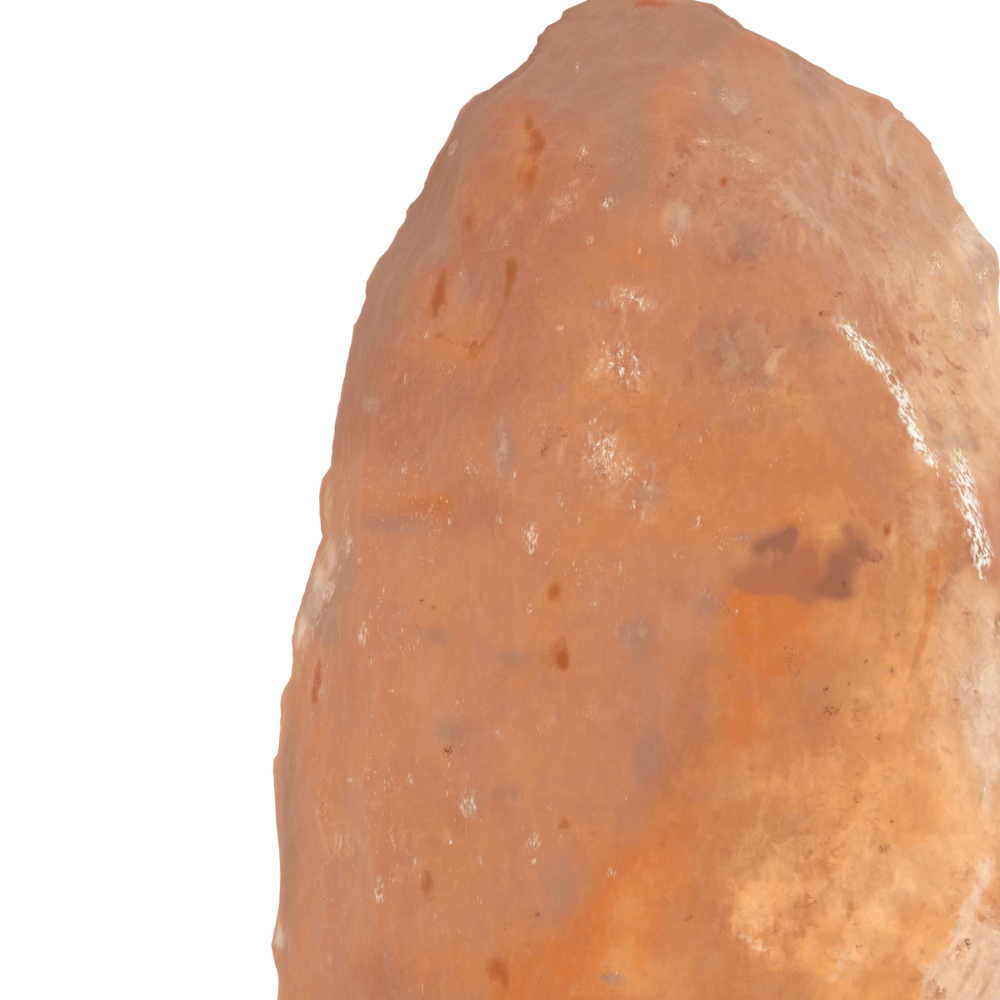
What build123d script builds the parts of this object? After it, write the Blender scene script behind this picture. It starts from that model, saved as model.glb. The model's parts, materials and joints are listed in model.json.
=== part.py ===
from build123d import *
import math
import os

# Salt crystal lamp: a hewn boulder of rock salt, sawn flat and bored from below, screwed to a
# turned wooden base. A plate with three spring legs closes the base's hole from below and
# carries a tube, a small screw-cap lampholder and its bulb up into the bore.
#
# Frame: millimetres, +Z up, +X to the right and -Y towards the viewer. The origin lies on the
# surface that the lamp stands on, on the common axis of the base, the bore and the bulb.

# ---------------------------------------------------------------- driving dimensions
thread_gap = 0.05  # radial gap wherever one piece screws or is pressed into another
seat_gap = 0.2  # gap under a piece that rests against another but comes off

# rubber feet
foot_height = 6.0
foot_top_radius = 8.0
foot_bottom_radius = 6.6
foot_edge_round = 1.0
foot_circle_radius = 58.0
foot_first_angle = 45.0
foot_count = 4
foot_screw_radius = 1.5
foot_screw_length = 13.0
foot_screw_head_radius = 2.8
foot_screw_head_height = 1.8
foot_screw_seat = 3.2

# wooden base
base_radius = 73.0
base_thickness = 22.0
base_top_round = 6.0
base_bottom_round = 2.5
base_groove_radius = 1.3
base_groove_drop = 9.5
base_hole_radius = 20.5
recess_radius = 31.0
recess_depth = 10.0
cord_channel_width = 9.0
cord_channel_depth = 8.0

# wood screws that hold the boulder, and the plugs that they bite in
screw_count = 3
screw_first_angle = 30.0
screw_circle_radius = 42.0
screw_radius = 2.25
screw_length = 45.0
screw_head_radius = 4.3
screw_sink = 0.6
screw_tip_height = 6.0
screw_point_radius = 0.4
driver_slot_length = 4.4
driver_slot_width = 0.9
driver_slot_depth = 1.3
plug_radius = 4.0
plug_length = 26.0
plug_slot_width = 1.0
plug_slot_length = 9.0

# boulder: each level is its height above the sawn face, then the left, right, front and
# back of its outline there
rock_levels = (
    (0.0, -66.0, 65.0, -57.0, 57.0),
    (16.0, -73.0, 73.5, -64.0, 63.0),
    (44.0, -78.2, 77.8, -70.0, 67.5),
    (72.0, -78.8, 71.0, -71.5, 67.5),
    (98.0, -78.2, 60.0, -69.0, 64.5),
    (122.0, -73.9, 46.5, -63.0, 59.0),
    (146.0, -69.5, 32.0, -54.5, 52.0),
    (164.0, -64.6, 29.0, -47.0, 45.0),
    (180.0, -56.8, 24.0, -39.0, 36.5),
    (192.0, -48.4, 12.0, -30.5, 27.0),
    (202.0, -37.6, -7.0, -20.0, 17.0),
    (209.0, -29.5, -18.6, -11.0, 8.0),
)
rock_outline_points = 12
rock_squareness = 2.5
bore_radius = 23.0
bore_depth = 119.0
bore_end_round = 5.0

# flats hewn on the boulder: compass bearing of the way each faces (0 is +X, -90 the viewer),
# how far it leans up, and its distance from the point on the axis at hewing_height
hewing_height = 96.0
hewn_flats = (
    (-38.0, 27.0, 58.4),
    (-98.0, 19.0, 66.3),
    (-137.0, 18.0, 77.5),
    (-168.0, 26.0, 86.8),
    (-4.0, 33.0, 63.9),
    (-66.0, 46.0, 81.7),
    (-118.0, 50.0, 96.3),
    (92.0, 21.0, 62.5),
    (44.0, 26.0, 57.8),
    (142.0, 23.0, 79.3),
    (70.0, 54.0, 87.5),
    (162.0, 50.0, 102.9),
    (20.0, 58.0, 85.8),
    (-60.0, 82.0, 109.5),
    (-92.0, 7.0, 63.5),
    (-60.0, 14.0, 60.9),
    (-26.0, 21.0, 55.6),
    (-122.0, 5.0, 72.3),
    (-152.0, 3.0, 77.5),
    (118.0, 8.0, 67.0),
    (76.0, 11.0, 57.5),
    (36.0, 17.0, 56.8),
    (158.0, 4.0, 75.8),
    (4.0, 24.0, 54.2),
    (-84.0, -8.0, 73.4),
    (-44.0, -4.0, 78.5),
    (-16.0, -4.0, 80.4),
    (-140.0, -9.0, 81.9),
    (-166.0, -14.0, 89.6),
    (138.0, -7.0, 78.8),
    (96.0, -10.0, 73.3),
    (54.0, -3.0, 72.8),
    (16.0, -12.0, 89.3),
    (-70.0, -30.0, 98.5),
    (-150.0, -34.0, 107.5),
    (60.0, -32.0, 102.0),
    (120.0, -30.0, 100.8),
    (-20.0, -34.0, 106.4),
    (-37.5, 30.6, 58.7),
    (-167.9, 13.8, 78.3),
    (-110.0, 32.0, 82.8),
    (-150.0, 38.0, 96.2),
    (-80.0, -1.0, 70.4),
    (-104.0, -4.0, 75.4),
    (-128.0, 26.0, 83.0),
    (-158.0, 12.0, 79.4),
    (-144.0, -20.0, 94.5),
    (150.0, -22.0, 97.2),
    (126.0, 18.0, 74.8),
    (104.0, 32.0, 78.5),
    (88.0, 4.0, 64.1),
    (108.0, -24.0, 92.9),
    (60.0, 14.0, 59.6),
    (22.0, 6.0, 72.7),
    (40.0, -18.0, 93.5),
    (-50.0, 30.0, 65.5),
    (-78.0, 30.0, 72.5),
    (-100.0, -22.0, 88.9),
    (-30.0, -18.0, 95.2),
    (0.0, -22.0, 97.6),
    (78.0, -22.0, 89.5),
    (170.0, 20.0, 83.6),
)

# spring-clip plate
plate_radius = 29.0
plate_thickness = 1.0
plate_edge_round = 0.4
clip_count = 3
clip_first_angle = 90.0
clip_width = 9.0
clip_thickness = 0.6
clip_foot_start = 9.6
clip_foot_end = 17.0
clip_bow_height = 9.0
clip_height = 22.0
clip_tip_radius = 16.6
clip_side_gap = 0.35
clip_foot_bend = 1.5
clip_bow_bend = 6.0
rivet_circle_radius = 13.2
rivet_radius = 1.3
rivet_head_radius = 2.4
rivet_head_height = 0.9
rivet_head_round = 0.5

# threaded tube, its nuts and the bush that the mains lead enters by
stem_radius = 4.95
stem_bore_radius = 4.1
stem_rise = 22.0
stem_drop = 0.8
stem_end_chamfer = 0.4
nut_across_flats = 14.0
nut_height = 2.6
nut_chamfer = 0.4
bush_bore_radius = 3.3
bush_length = 9.0
bush_flange_radius = 6.0
bush_flange_height = 1.2
bush_flange_round = 0.5

# lampholder
cap_radius = 13.5
cap_wall = 1.6
cap_neck_radius = 7.6
cap_neck_height = 6.0
cap_thread_depth = 8.0
cap_floor_thickness = 1.5
cap_floor_radius = 7.8
cap_inner_shoulder = 2.8
cap_shoulder_height = 6.0
cap_height = 26.0
insert_seat_height = 15.0
insert_ledge = 1.3
insert_thickness = 8.0
skirt_height = 20.0
skirt_wall = 1.6
skirt_top_radius = 12.6
skirt_bore_radius = 8.3
skirt_lip_thickness = 2.2
skirt_rim_round = 1.4
terminal_offset = 6.5
terminal_length = 5.0
terminal_width = 6.0
terminal_height = 5.8
terminal_screw_radius = 1.25
terminal_screw_head_radius = 2.1
terminal_screw_head_height = 1.6
terminal_screw_length = 4.0
terminal_slot_width = 0.7
wire_hole_radius = 1.3
wire_hole_offset = 5.8
wire_hole_depth = 4.6
contact_width = 4.0
contact_thickness = 0.4
contact_rise = 1.3
contact_foot_start = -5.8
contact_foot_end = -3.4
contact_tongue_start = -0.6
contact_tongue_end = 2.2
contact_rivet_radius = 0.6
contact_rivet_head_radius = 0.9
contact_rivet_head_height = 0.5
centre_rivet_offset = -4.6
shell_rivet_offset = 8.35
shell_flange_radius = 9.4
shell_flange_thickness = 0.5
shell_wall = 0.35
shell_turns = 5

# screw thread shared by the lampholder and the bulb's cap
thread_pitch = 2.822
thread_depth = 0.73
thread_clearance = 0.3

# bulb, measured up from the tip of its cap
bulb_tip_gap = 0.3
bulb_length = 57.0
bulb_radius = 13.0
bulb_barrel_bottom = 32.0
bulb_neck_radius = 5.6
bulb_neck_bottom = 10.0
bulb_neck_top = 20.0
bulb_glass_wall = 0.8
bulb_cap_thread_radius = 6.565
bulb_cap_wall = 0.3
bulb_cap_bottom = 4.0
bulb_cap_lead_in = 0.8
bulb_cap_turns = 4
bulb_cap_top = 21.0
tip_contact_radius = 2.5
tip_contact_height = 1.2
tip_contact_round = 0.8
tip_pin_radius = 0.9
insulator_nose_radius = 3.3
insulator_shoulder_radius = 5.7
insulator_top = 6.0
flare_radius = 4.6
flare_wall = 0.8
flare_bottom = 11.0
flare_waist_height = 14.0
flare_waist_radius = 3.9
pinch_radius = 2.4
pinch_bottom = 18.0
pinch_top = 20.0
mount_rod_radius = 0.9
mount_rod_top = 29.0
lead_radius = 0.3
lead_root_offset = 1.6
lead_reach = 6.5
lead_first_bend = 24.0
lead_second_bend = 38.0
lead_top = 42.0
lead_bend_radius = 2.0
filament_radius = 0.35
filament_rise = 4.0
filament_support_radius = 0.2

# ---------------------------------------------------------------- places worked out from them
base_bottom = foot_height
base_top = base_bottom + base_thickness
plate_top = base_bottom + recess_depth - seat_gap
plate_bottom = plate_top - plate_thickness
stem_bottom = plate_bottom - nut_height - stem_drop
stem_top = plate_top + stem_rise
cap_bottom = stem_top - cap_thread_depth
cap_floor = stem_top + cap_floor_thickness
cap_top = cap_bottom + cap_height
insert_bottom = cap_bottom + insert_seat_height
insert_top = insert_bottom + insert_thickness
insert_radius = cap_radius - cap_wall - thread_gap
insert_ledge_radius = insert_radius - insert_ledge
skirt_top = insert_top + skirt_height
contact_top = insert_top + contact_rise + contact_thickness
bulb_tip = contact_top + bulb_tip_gap
bulb_thread_bottom = bulb_tip + bulb_cap_bottom + bulb_cap_lead_in
shell_thread_bottom = bulb_thread_bottom - (shell_turns - bulb_cap_turns) * thread_pitch
shell_thread_radius = bulb_cap_thread_radius + thread_clearance
screw_seat = base_bottom + screw_sink
upwards = (Align.CENTER, Align.CENTER, Align.MIN)


def ring_of_places(radius, count, first_angle, height):
    """Places evenly round the axis, each turned so that its own X points outwards."""
    places = []
    for number in range(count):
        angle = first_angle + number * 360.0 / count
        x = radius * math.cos(math.radians(angle))
        y = radius * math.sin(math.radians(angle))
        places.append(Location((x, y, height), (0, 0, angle)))
    return places


def upright_cylinder(radius, height, mode=Mode.ADD):
    """A cylinder standing on the current place."""
    Cylinder(radius, height, align=upwards, mode=mode)


def rock_outline(level):
    """Points of a squarish closed outline between one level's four sides."""
    _, left, right, front, back = level
    centre_x, centre_y = (left + right) / 2, (front + back) / 2
    half_x, half_y = (right - left) / 2, (back - front) / 2
    points = []
    for number in range(rock_outline_points):
        angle = 2 * math.pi * number / rock_outline_points
        along_x, along_y = math.cos(angle), math.sin(angle)
        points.append(
            (
                centre_x + half_x * math.copysign(abs(along_x) ** (2 / rock_squareness), along_x),
                centre_y + half_y * math.copysign(abs(along_y) ** (2 / rock_squareness), along_y),
            )
        )
    return points


def flat_plane(bearing, lean, distance):
    """The plane of one hewn flat, facing out of the boulder."""
    bearing, lean = math.radians(bearing), math.radians(lean)
    outwards = Vector(
        math.cos(lean) * math.cos(bearing), math.cos(lean) * math.sin(bearing), math.sin(lean)
    )
    foot = Vector(0, 0, base_top + hewing_height) + outwards * distance
    return Plane(origin=foot, z_dir=outwards)


def thread_wave(middle_radius, bottom, turns):
    """The outline of a rolled thread: half rounds that bulge out and in by turns."""
    half_pitch = thread_pitch / 2
    for number in range(2 * turns):
        bulge = thread_depth / 2 if number % 2 == 0 else -thread_depth / 2
        start = bottom + number * half_pitch
        ThreePointArc(
            (middle_radius, start),
            (middle_radius + bulge, start + half_pitch / 2),
            (middle_radius, start + half_pitch),
        )


# ---------------------------------------------------------------- boulder
plug_places = ring_of_places(screw_circle_radius, screw_count, screw_first_angle, base_top)

with BuildPart() as salt_crystal:
    for level in rock_levels:
        with BuildSketch(Plane.XY.offset(base_top + level[0])):
            with BuildLine():
                Spline(*rock_outline(level), periodic=True)
            make_face()
    loft()
    for bearing, lean, distance in hewn_flats:
        split(bisect_by=flat_plane(bearing, lean, distance), keep=Keep.BOTTOM)
    with BuildSketch(Plane.XZ) as bore_profile:
        with BuildLine():
            bore_end = base_top + bore_depth
            Polyline(
                (0, bore_end), (0, base_top), (bore_radius, base_top),
                (bore_radius, bore_end - bore_end_round),
            )
            RadiusArc(
                (bore_radius, bore_end - bore_end_round),
                (bore_radius - bore_end_round, bore_end),
                -bore_end_round,
            )
            Line((bore_radius - bore_end_round, bore_end), (0, bore_end))
        make_face()
    revolve(axis=Axis.Z, mode=Mode.SUBTRACT)
    with Locations(*plug_places):
        upright_cylinder(plug_radius + thread_gap, plug_length + seat_gap, mode=Mode.SUBTRACT)

# ---------------------------------------------------------------- wooden base
screw_places = ring_of_places(screw_circle_radius, screw_count, screw_first_angle, screw_seat)
screw_sink_places = ring_of_places(screw_circle_radius, screw_count, screw_first_angle, base_bottom)
foot_top_places = ring_of_places(foot_circle_radius, foot_count, foot_first_angle, base_bottom)
countersink_depth = screw_head_radius - screw_radius
foot_screw_grip = foot_screw_length - (foot_height - foot_screw_seat)

with BuildPart() as wooden_base:
    with BuildSketch(Plane.XZ) as base_profile:
        with BuildLine():
            Polyline(
                (base_hole_radius, base_top), (base_radius, base_top),
                (base_radius, base_bottom), (recess_radius, base_bottom),
                (recess_radius, base_bottom + recess_depth),
                (base_hole_radius, base_bottom + recess_depth),
                close=True,
            )
        make_face()
        rim_corners = base_profile.vertices().group_by(Axis.X)[-1].sort_by(Axis.Y)
        fillet(rim_corners[-1], base_top_round)
        rim_corners = base_profile.vertices().group_by(Axis.X)[-1].sort_by(Axis.Y)
        fillet(rim_corners[0], base_bottom_round)
        with Locations((base_radius, base_top - base_groove_drop)):
            Circle(base_groove_radius, mode=Mode.SUBTRACT)
    revolve(axis=Axis.Z)
    with BuildSketch(Plane.XY.offset(base_bottom)):
        with Locations((0, base_radius / 2)):
            Rectangle(cord_channel_width, base_radius)
    extrude(amount=cord_channel_depth, mode=Mode.SUBTRACT)
    with Locations(*screw_sink_places):
        upright_cylinder(screw_head_radius + thread_gap, screw_sink, mode=Mode.SUBTRACT)
        upright_cylinder(screw_radius + thread_gap, base_thickness, mode=Mode.SUBTRACT)
    with Locations(*screw_places):
        Cone(
            screw_head_radius + thread_gap, screw_radius + thread_gap, countersink_depth,
            align=upwards, mode=Mode.SUBTRACT,
        )
    with Locations(*foot_top_places):
        upright_cylinder(
            foot_screw_radius + thread_gap, foot_screw_grip + seat_gap, mode=Mode.SUBTRACT
        )

with BuildPart() as base_screws:
    with Locations(*screw_places):
        upright_cylinder(screw_radius, screw_length - screw_tip_height)
        Cone(screw_head_radius, screw_radius, countersink_depth, align=upwards)
        Box(driver_slot_length, driver_slot_width, 2 * driver_slot_depth, mode=Mode.SUBTRACT)
        Box(driver_slot_width, driver_slot_length, 2 * driver_slot_depth, mode=Mode.SUBTRACT)
        with Locations((0, 0, screw_length - screw_tip_height)):
            Cone(screw_radius, screw_point_radius, screw_tip_height, align=upwards)

with BuildPart() as screw_plugs:
    with Locations(*plug_places):
        upright_cylinder(plug_radius, plug_length)
        upright_cylinder(
            screw_radius + thread_gap, screw_seat + screw_length - base_top + seat_gap,
            mode=Mode.SUBTRACT,
        )
        with Locations((0, 0, plug_length - plug_slot_length)):
            Box(
                2 * (plug_radius + thread_gap), plug_slot_width, plug_slot_length,
                align=upwards, mode=Mode.SUBTRACT,
            )

# ---------------------------------------------------------------- rubber feet and their screws
foot_places = ring_of_places(foot_circle_radius, foot_count, foot_first_angle, 0)
foot_screw_places = ring_of_places(
    foot_circle_radius, foot_count, foot_first_angle, foot_screw_seat - foot_screw_head_height
)

with BuildPart() as rubber_feet:
    with Locations(*foot_places):
        Cone(foot_bottom_radius, foot_top_radius, foot_height, align=upwards)
    fillet(rubber_feet.edges().group_by(Axis.Z)[0], foot_edge_round)
    with Locations(*foot_places):
        upright_cylinder(foot_screw_head_radius + seat_gap, foot_screw_seat, mode=Mode.SUBTRACT)
        upright_cylinder(foot_screw_radius + thread_gap, foot_height, mode=Mode.SUBTRACT)

with BuildPart() as foot_screws:
    with Locations(*foot_screw_places):
        upright_cylinder(foot_screw_head_radius, foot_screw_head_height)
        upright_cylinder(foot_screw_radius, foot_screw_head_height + foot_screw_length)
    chamfer(foot_screws.edges().group_by(Axis.Z)[-1], foot_screw_radius / 2)
    fillet(foot_screws.edges().group_by(Axis.Z)[0], foot_screw_head_height / 3)

# ---------------------------------------------------------------- spring-clip plate
clip_reach = math.sqrt((base_hole_radius - clip_side_gap) ** 2 - (clip_width / 2) ** 2)
rivet_places = ring_of_places(
    rivet_circle_radius, clip_count, clip_first_angle, plate_bottom - rivet_head_height
)

with BuildPart() as cover_plate:
    with BuildSketch(Plane.XY.offset(plate_bottom)):
        Circle(plate_radius)
        Circle(stem_radius + thread_gap, mode=Mode.SUBTRACT)
        with PolarLocations(rivet_circle_radius, clip_count, start_angle=clip_first_angle):
            Circle(rivet_radius + thread_gap, mode=Mode.SUBTRACT)
    extrude(amount=plate_thickness)
    plate_rim = cover_plate.edges().group_by(Axis.Z)[0].sort_by(SortBy.RADIUS)[-1]
    fillet(plate_rim, plate_edge_round)

with BuildPart() as spring_clips:
    for number in range(clip_count):
        bearing = math.radians(clip_first_angle + number * 360 / clip_count)
        clip_plane = Plane(
            origin=(0, 0, plate_top),
            x_dir=(math.cos(bearing), math.sin(bearing), 0),
            z_dir=(math.sin(bearing), -math.cos(bearing), 0),
        )
        with BuildSketch(clip_plane):
            with BuildLine():
                FilletPolyline(
                    (clip_foot_start, clip_thickness / 2), (clip_foot_end, clip_thickness / 2),
                    (clip_reach - clip_thickness / 2, clip_bow_height),
                    (clip_tip_radius, clip_height),
                    radius=[clip_foot_bend, clip_bow_bend],
                )
            trace(line_width=clip_thickness)
        extrude(amount=clip_width / 2, both=True)
    with Locations(*rivet_places):
        upright_cylinder(
            rivet_radius + thread_gap,
            rivet_head_height + plate_thickness + clip_thickness + seat_gap,
            mode=Mode.SUBTRACT,
        )

with BuildPart() as clip_rivets:
    with Locations(*rivet_places):
        upright_cylinder(rivet_head_radius, rivet_head_height)
        upright_cylinder(rivet_radius, rivet_head_height + plate_thickness + clip_thickness)
        with Locations((0, 0, rivet_head_height + plate_thickness + clip_thickness)):
            upright_cylinder(rivet_head_radius, rivet_head_height)
    fillet(clip_rivets.edges().group_by(Axis.Z)[0], rivet_head_round)
    fillet(clip_rivets.edges().group_by(Axis.Z)[-1], rivet_head_round)

# ---------------------------------------------------------------- tube, nuts and bush
with BuildPart() as stem_tube:
    with Locations((0, 0, stem_bottom)):
        upright_cylinder(stem_radius, stem_top - stem_bottom)
    chamfer(stem_tube.edges().filter_by(GeomType.CIRCLE), stem_end_chamfer)
    with Locations((0, 0, stem_bottom)):
        upright_cylinder(stem_bore_radius, stem_top - stem_bottom, mode=Mode.SUBTRACT)

with BuildPart() as stem_locknuts:
    with BuildSketch(Plane.XY.offset(plate_bottom - nut_height), Plane.XY.offset(plate_top)):
        RegularPolygon(nut_across_flats / 2, 6, major_radius=False)
        Circle(stem_radius + thread_gap, mode=Mode.SUBTRACT)
    extrude(amount=nut_height)
    nut_edges = stem_locknuts.edges().filter_by(GeomType.LINE).filter_by(Plane.XY)
    chamfer(nut_edges, nut_chamfer)

with BuildPart() as cord_bush:
    with Locations((0, 0, stem_bottom - bush_flange_height)):
        upright_cylinder(bush_flange_radius, bush_flange_height)
        upright_cylinder(stem_bore_radius - thread_gap, bush_length)
    fillet(cord_bush.edges().group_by(Axis.Z)[0], bush_flange_round)
    with Locations((0, 0, stem_bottom - bush_flange_height)):
        upright_cylinder(bush_bore_radius, bush_length, mode=Mode.SUBTRACT)

# ---------------------------------------------------------------- lampholder
with BuildPart() as holder_cap:
    with BuildSketch(Plane.XZ):
        with BuildLine():
            shoulder_bottom = cap_bottom + cap_neck_height
            Polyline(
                (stem_radius + thread_gap, cap_bottom), (cap_neck_radius, cap_bottom),
                (cap_neck_radius, shoulder_bottom),
                (cap_radius, shoulder_bottom + cap_shoulder_height), (cap_radius, cap_top),
                (cap_radius - cap_wall, cap_top), (cap_radius - cap_wall, insert_bottom),
                (insert_ledge_radius, insert_bottom),
                (insert_ledge_radius, cap_floor + cap_inner_shoulder),
                (cap_floor_radius, cap_floor), (stem_bore_radius, cap_floor),
                (stem_bore_radius, stem_top), (stem_radius + thread_gap, stem_top),
                close=True,
            )
        make_face()
    revolve(axis=Axis.Z)

terminal_places = ring_of_places(terminal_offset, 2, 0, insert_bottom + seat_gap)
pocket_places = ring_of_places(
    terminal_offset - terminal_length / 2 - thread_gap, 2, 0, insert_bottom
)
wire_hole_places = ring_of_places(wire_hole_offset, 2, 0, insert_bottom + seat_gap)
terminal_screw_places = ring_of_places(
    terminal_offset + terminal_length / 2, 2, 0, insert_bottom + seat_gap + terminal_height / 2
)
contact_rivet_spots = ((centre_rivet_offset, 0), (shell_rivet_offset, 0))

with BuildPart() as holder_insert:
    with Locations((0, 0, insert_bottom)):
        upright_cylinder(insert_radius, insert_thickness)
    with Locations(*pocket_places):
        Box(
            insert_radius, terminal_width + 2 * thread_gap, terminal_height + seat_gap,
            align=(Align.MIN, Align.CENTER, Align.MIN), mode=Mode.SUBTRACT,
        )
    with BuildSketch(Plane.XY.offset(insert_top)):
        with Locations(*contact_rivet_spots):
            Circle(contact_rivet_radius + thread_gap)
    extrude(amount=-insert_thickness, mode=Mode.SUBTRACT)

with BuildPart() as terminal_blocks:
    with Locations(*terminal_places):
        Box(terminal_length, terminal_width, terminal_height, align=upwards)
    with Locations(*wire_hole_places):
        upright_cylinder(wire_hole_radius, wire_hole_depth, mode=Mode.SUBTRACT)
    with Locations(*terminal_screw_places):
        Cylinder(
            terminal_screw_radius + thread_gap, terminal_screw_length + seat_gap,
            rotation=(0, -90, 0), align=upwards, mode=Mode.SUBTRACT,
        )

with BuildPart() as terminal_screws:
    with Locations(*terminal_screw_places):
        Cylinder(terminal_screw_radius, terminal_screw_length, rotation=(0, -90, 0), align=upwards)
        Cylinder(
            terminal_screw_head_radius, terminal_screw_head_height, rotation=(0, 90, 0),
            align=upwards,
        )
        with Locations((terminal_screw_head_height, 0, 0)):
            Box(
                terminal_screw_head_height, terminal_slot_width, 2 * terminal_screw_head_radius,
                mode=Mode.SUBTRACT,
            )

with BuildPart() as centre_contact:
    with BuildSketch(Plane.XZ):
        leaf_top = contact_rise + contact_thickness
        with BuildLine():
            Polyline(
                (contact_foot_start, insert_top), (contact_foot_end, insert_top),
                (contact_tongue_start, insert_top + contact_rise),
                (contact_tongue_end, insert_top + contact_rise),
                (contact_tongue_end, insert_top + leaf_top),
                (contact_tongue_start - contact_thickness / 2, insert_top + leaf_top),
                (contact_foot_end - contact_thickness / 2, insert_top + contact_thickness),
                (contact_foot_start, insert_top + contact_thickness),
                close=True,
            )
        make_face()
    extrude(amount=contact_width / 2, both=True)
    with Locations((centre_rivet_offset, 0, insert_top)):
        upright_cylinder(
            contact_rivet_radius + thread_gap, contact_thickness, mode=Mode.SUBTRACT
        )

with BuildPart() as thread_shell:
    with BuildSketch(Plane.XZ):
        shell_thread_top = shell_thread_bottom + shell_turns * thread_pitch
        with BuildLine():
            thread_wave(shell_thread_radius, shell_thread_bottom, shell_turns)
            thread_wave(shell_thread_radius + shell_wall, shell_thread_bottom, shell_turns)
            Line(
                (shell_thread_radius, shell_thread_top),
                (shell_thread_radius + shell_wall, shell_thread_top),
            )
            Polyline(
                (shell_thread_radius, shell_thread_bottom), (shell_thread_radius, insert_top),
                (shell_flange_radius, insert_top),
                (shell_flange_radius, insert_top + shell_flange_thickness),
                (shell_thread_radius + shell_wall, insert_top + shell_flange_thickness),
                (shell_thread_radius + shell_wall, shell_thread_bottom),
            )
        make_face()
    revolve(axis=Axis.Z)
    with Locations((shell_rivet_offset, 0, insert_top)):
        upright_cylinder(
            contact_rivet_radius + thread_gap, shell_flange_thickness, mode=Mode.SUBTRACT
        )

rivet_shank_bottom = insert_bottom + seat_gap + terminal_height

with BuildPart() as contact_rivets:
    for offset, clamped in (
        (centre_rivet_offset, contact_thickness), (shell_rivet_offset, shell_flange_thickness)
    ):
        with Locations((offset, 0, rivet_shank_bottom)):
            upright_cylinder(contact_rivet_radius, insert_top + clamped - rivet_shank_bottom)
        with Locations((offset, 0, insert_top + clamped)):
            upright_cylinder(contact_rivet_head_radius, contact_rivet_head_height)

with BuildPart() as holder_skirt:
    with BuildSketch(Plane.XZ) as skirt_profile:
        with BuildLine():
            skirt_inner_radius = insert_radius - skirt_wall
            Polyline(
                (skirt_inner_radius, insert_top), (insert_radius, insert_top),
                (insert_radius, cap_top + seat_gap), (cap_radius, cap_top + seat_gap),
                (skirt_top_radius, skirt_top), (skirt_bore_radius, skirt_top),
                (skirt_bore_radius, skirt_top - skirt_lip_thickness),
                (skirt_inner_radius, skirt_top - skirt_lip_thickness),
                close=True,
            )
        make_face()
        skirt_rim = skirt_profile.vertices().group_by(Axis.Y)[-1].sort_by(Axis.X)[-1]
        fillet(skirt_rim, skirt_rim_round)
    revolve(axis=Axis.Z)

# ---------------------------------------------------------------- bulb
barrel_top = bulb_tip + bulb_length - bulb_radius


def glass_outline(inset):
    """Half outline of the bulb's glass, drawn in by an inset, closed on the axis."""
    bottom, neck_top = bulb_tip + bulb_neck_bottom, bulb_tip + bulb_neck_top
    neck, barrel = bulb_neck_radius - inset, bulb_radius - inset
    barrel_bottom = bulb_tip + bulb_barrel_bottom
    Polyline((0, barrel_top + barrel), (0, bottom), (neck, bottom), (neck, neck_top))
    Spline((neck, neck_top), (barrel, barrel_bottom), tangents=((0, 1), (0, 1)))
    Line((barrel, barrel_bottom), (barrel, barrel_top))
    CenterArc((0, barrel_top), barrel, 0, 90)


with BuildPart() as bulb_glass:
    with BuildSketch(Plane.XZ):
        with BuildLine():
            glass_outline(0)
        make_face()
    revolve(axis=Axis.Z)
    with BuildSketch(Plane.XZ):
        with BuildLine():
            glass_outline(bulb_glass_wall)
        make_face()
    revolve(axis=Axis.Z, mode=Mode.SUBTRACT)

with BuildPart() as bulb_screw_cap:
    with BuildSketch(Plane.XZ):
        bulb_thread_top = bulb_thread_bottom + bulb_cap_turns * thread_pitch
        cap_inner_radius = bulb_cap_thread_radius - bulb_cap_wall
        with BuildLine():
            thread_wave(bulb_cap_thread_radius, bulb_thread_bottom, bulb_cap_turns)
            thread_wave(cap_inner_radius, bulb_thread_bottom, bulb_cap_turns)
            Polyline(
                (bulb_cap_thread_radius, bulb_thread_top),
                (bulb_cap_thread_radius, bulb_tip + bulb_cap_top),
                (cap_inner_radius, bulb_tip + bulb_cap_top), (cap_inner_radius, bulb_thread_top),
            )
            Polyline(
                (bulb_cap_thread_radius, bulb_thread_bottom),
                (insulator_shoulder_radius + thread_gap + bulb_cap_wall, bulb_tip + bulb_cap_bottom),
                (insulator_shoulder_radius + thread_gap, bulb_tip + bulb_cap_bottom),
                (cap_inner_radius, bulb_thread_bottom),
            )
        make_face()
    revolve(axis=Axis.Z)

with BuildPart() as bulb_cap_insulator:
    with BuildSketch(Plane.XZ):
        with BuildLine():
            Polyline(
                (tip_pin_radius + thread_gap, bulb_tip + tip_contact_height),
                (insulator_nose_radius, bulb_tip + tip_contact_height),
                (insulator_shoulder_radius, bulb_tip + bulb_cap_bottom),
                (insulator_shoulder_radius, bulb_tip + insulator_top),
                (tip_pin_radius + thread_gap, bulb_tip + insulator_top),
                close=True,
            )
        make_face()
    revolve(axis=Axis.Z)

with BuildPart() as bulb_tip_contact:
    with Locations((0, 0, bulb_tip)):
        upright_cylinder(tip_contact_radius, tip_contact_height)
    fillet(bulb_tip_contact.edges().group_by(Axis.Z)[0], tip_contact_round)
    with Locations((0, 0, bulb_tip + tip_contact_height)):
        upright_cylinder(tip_pin_radius, insulator_top - tip_contact_height)

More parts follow.
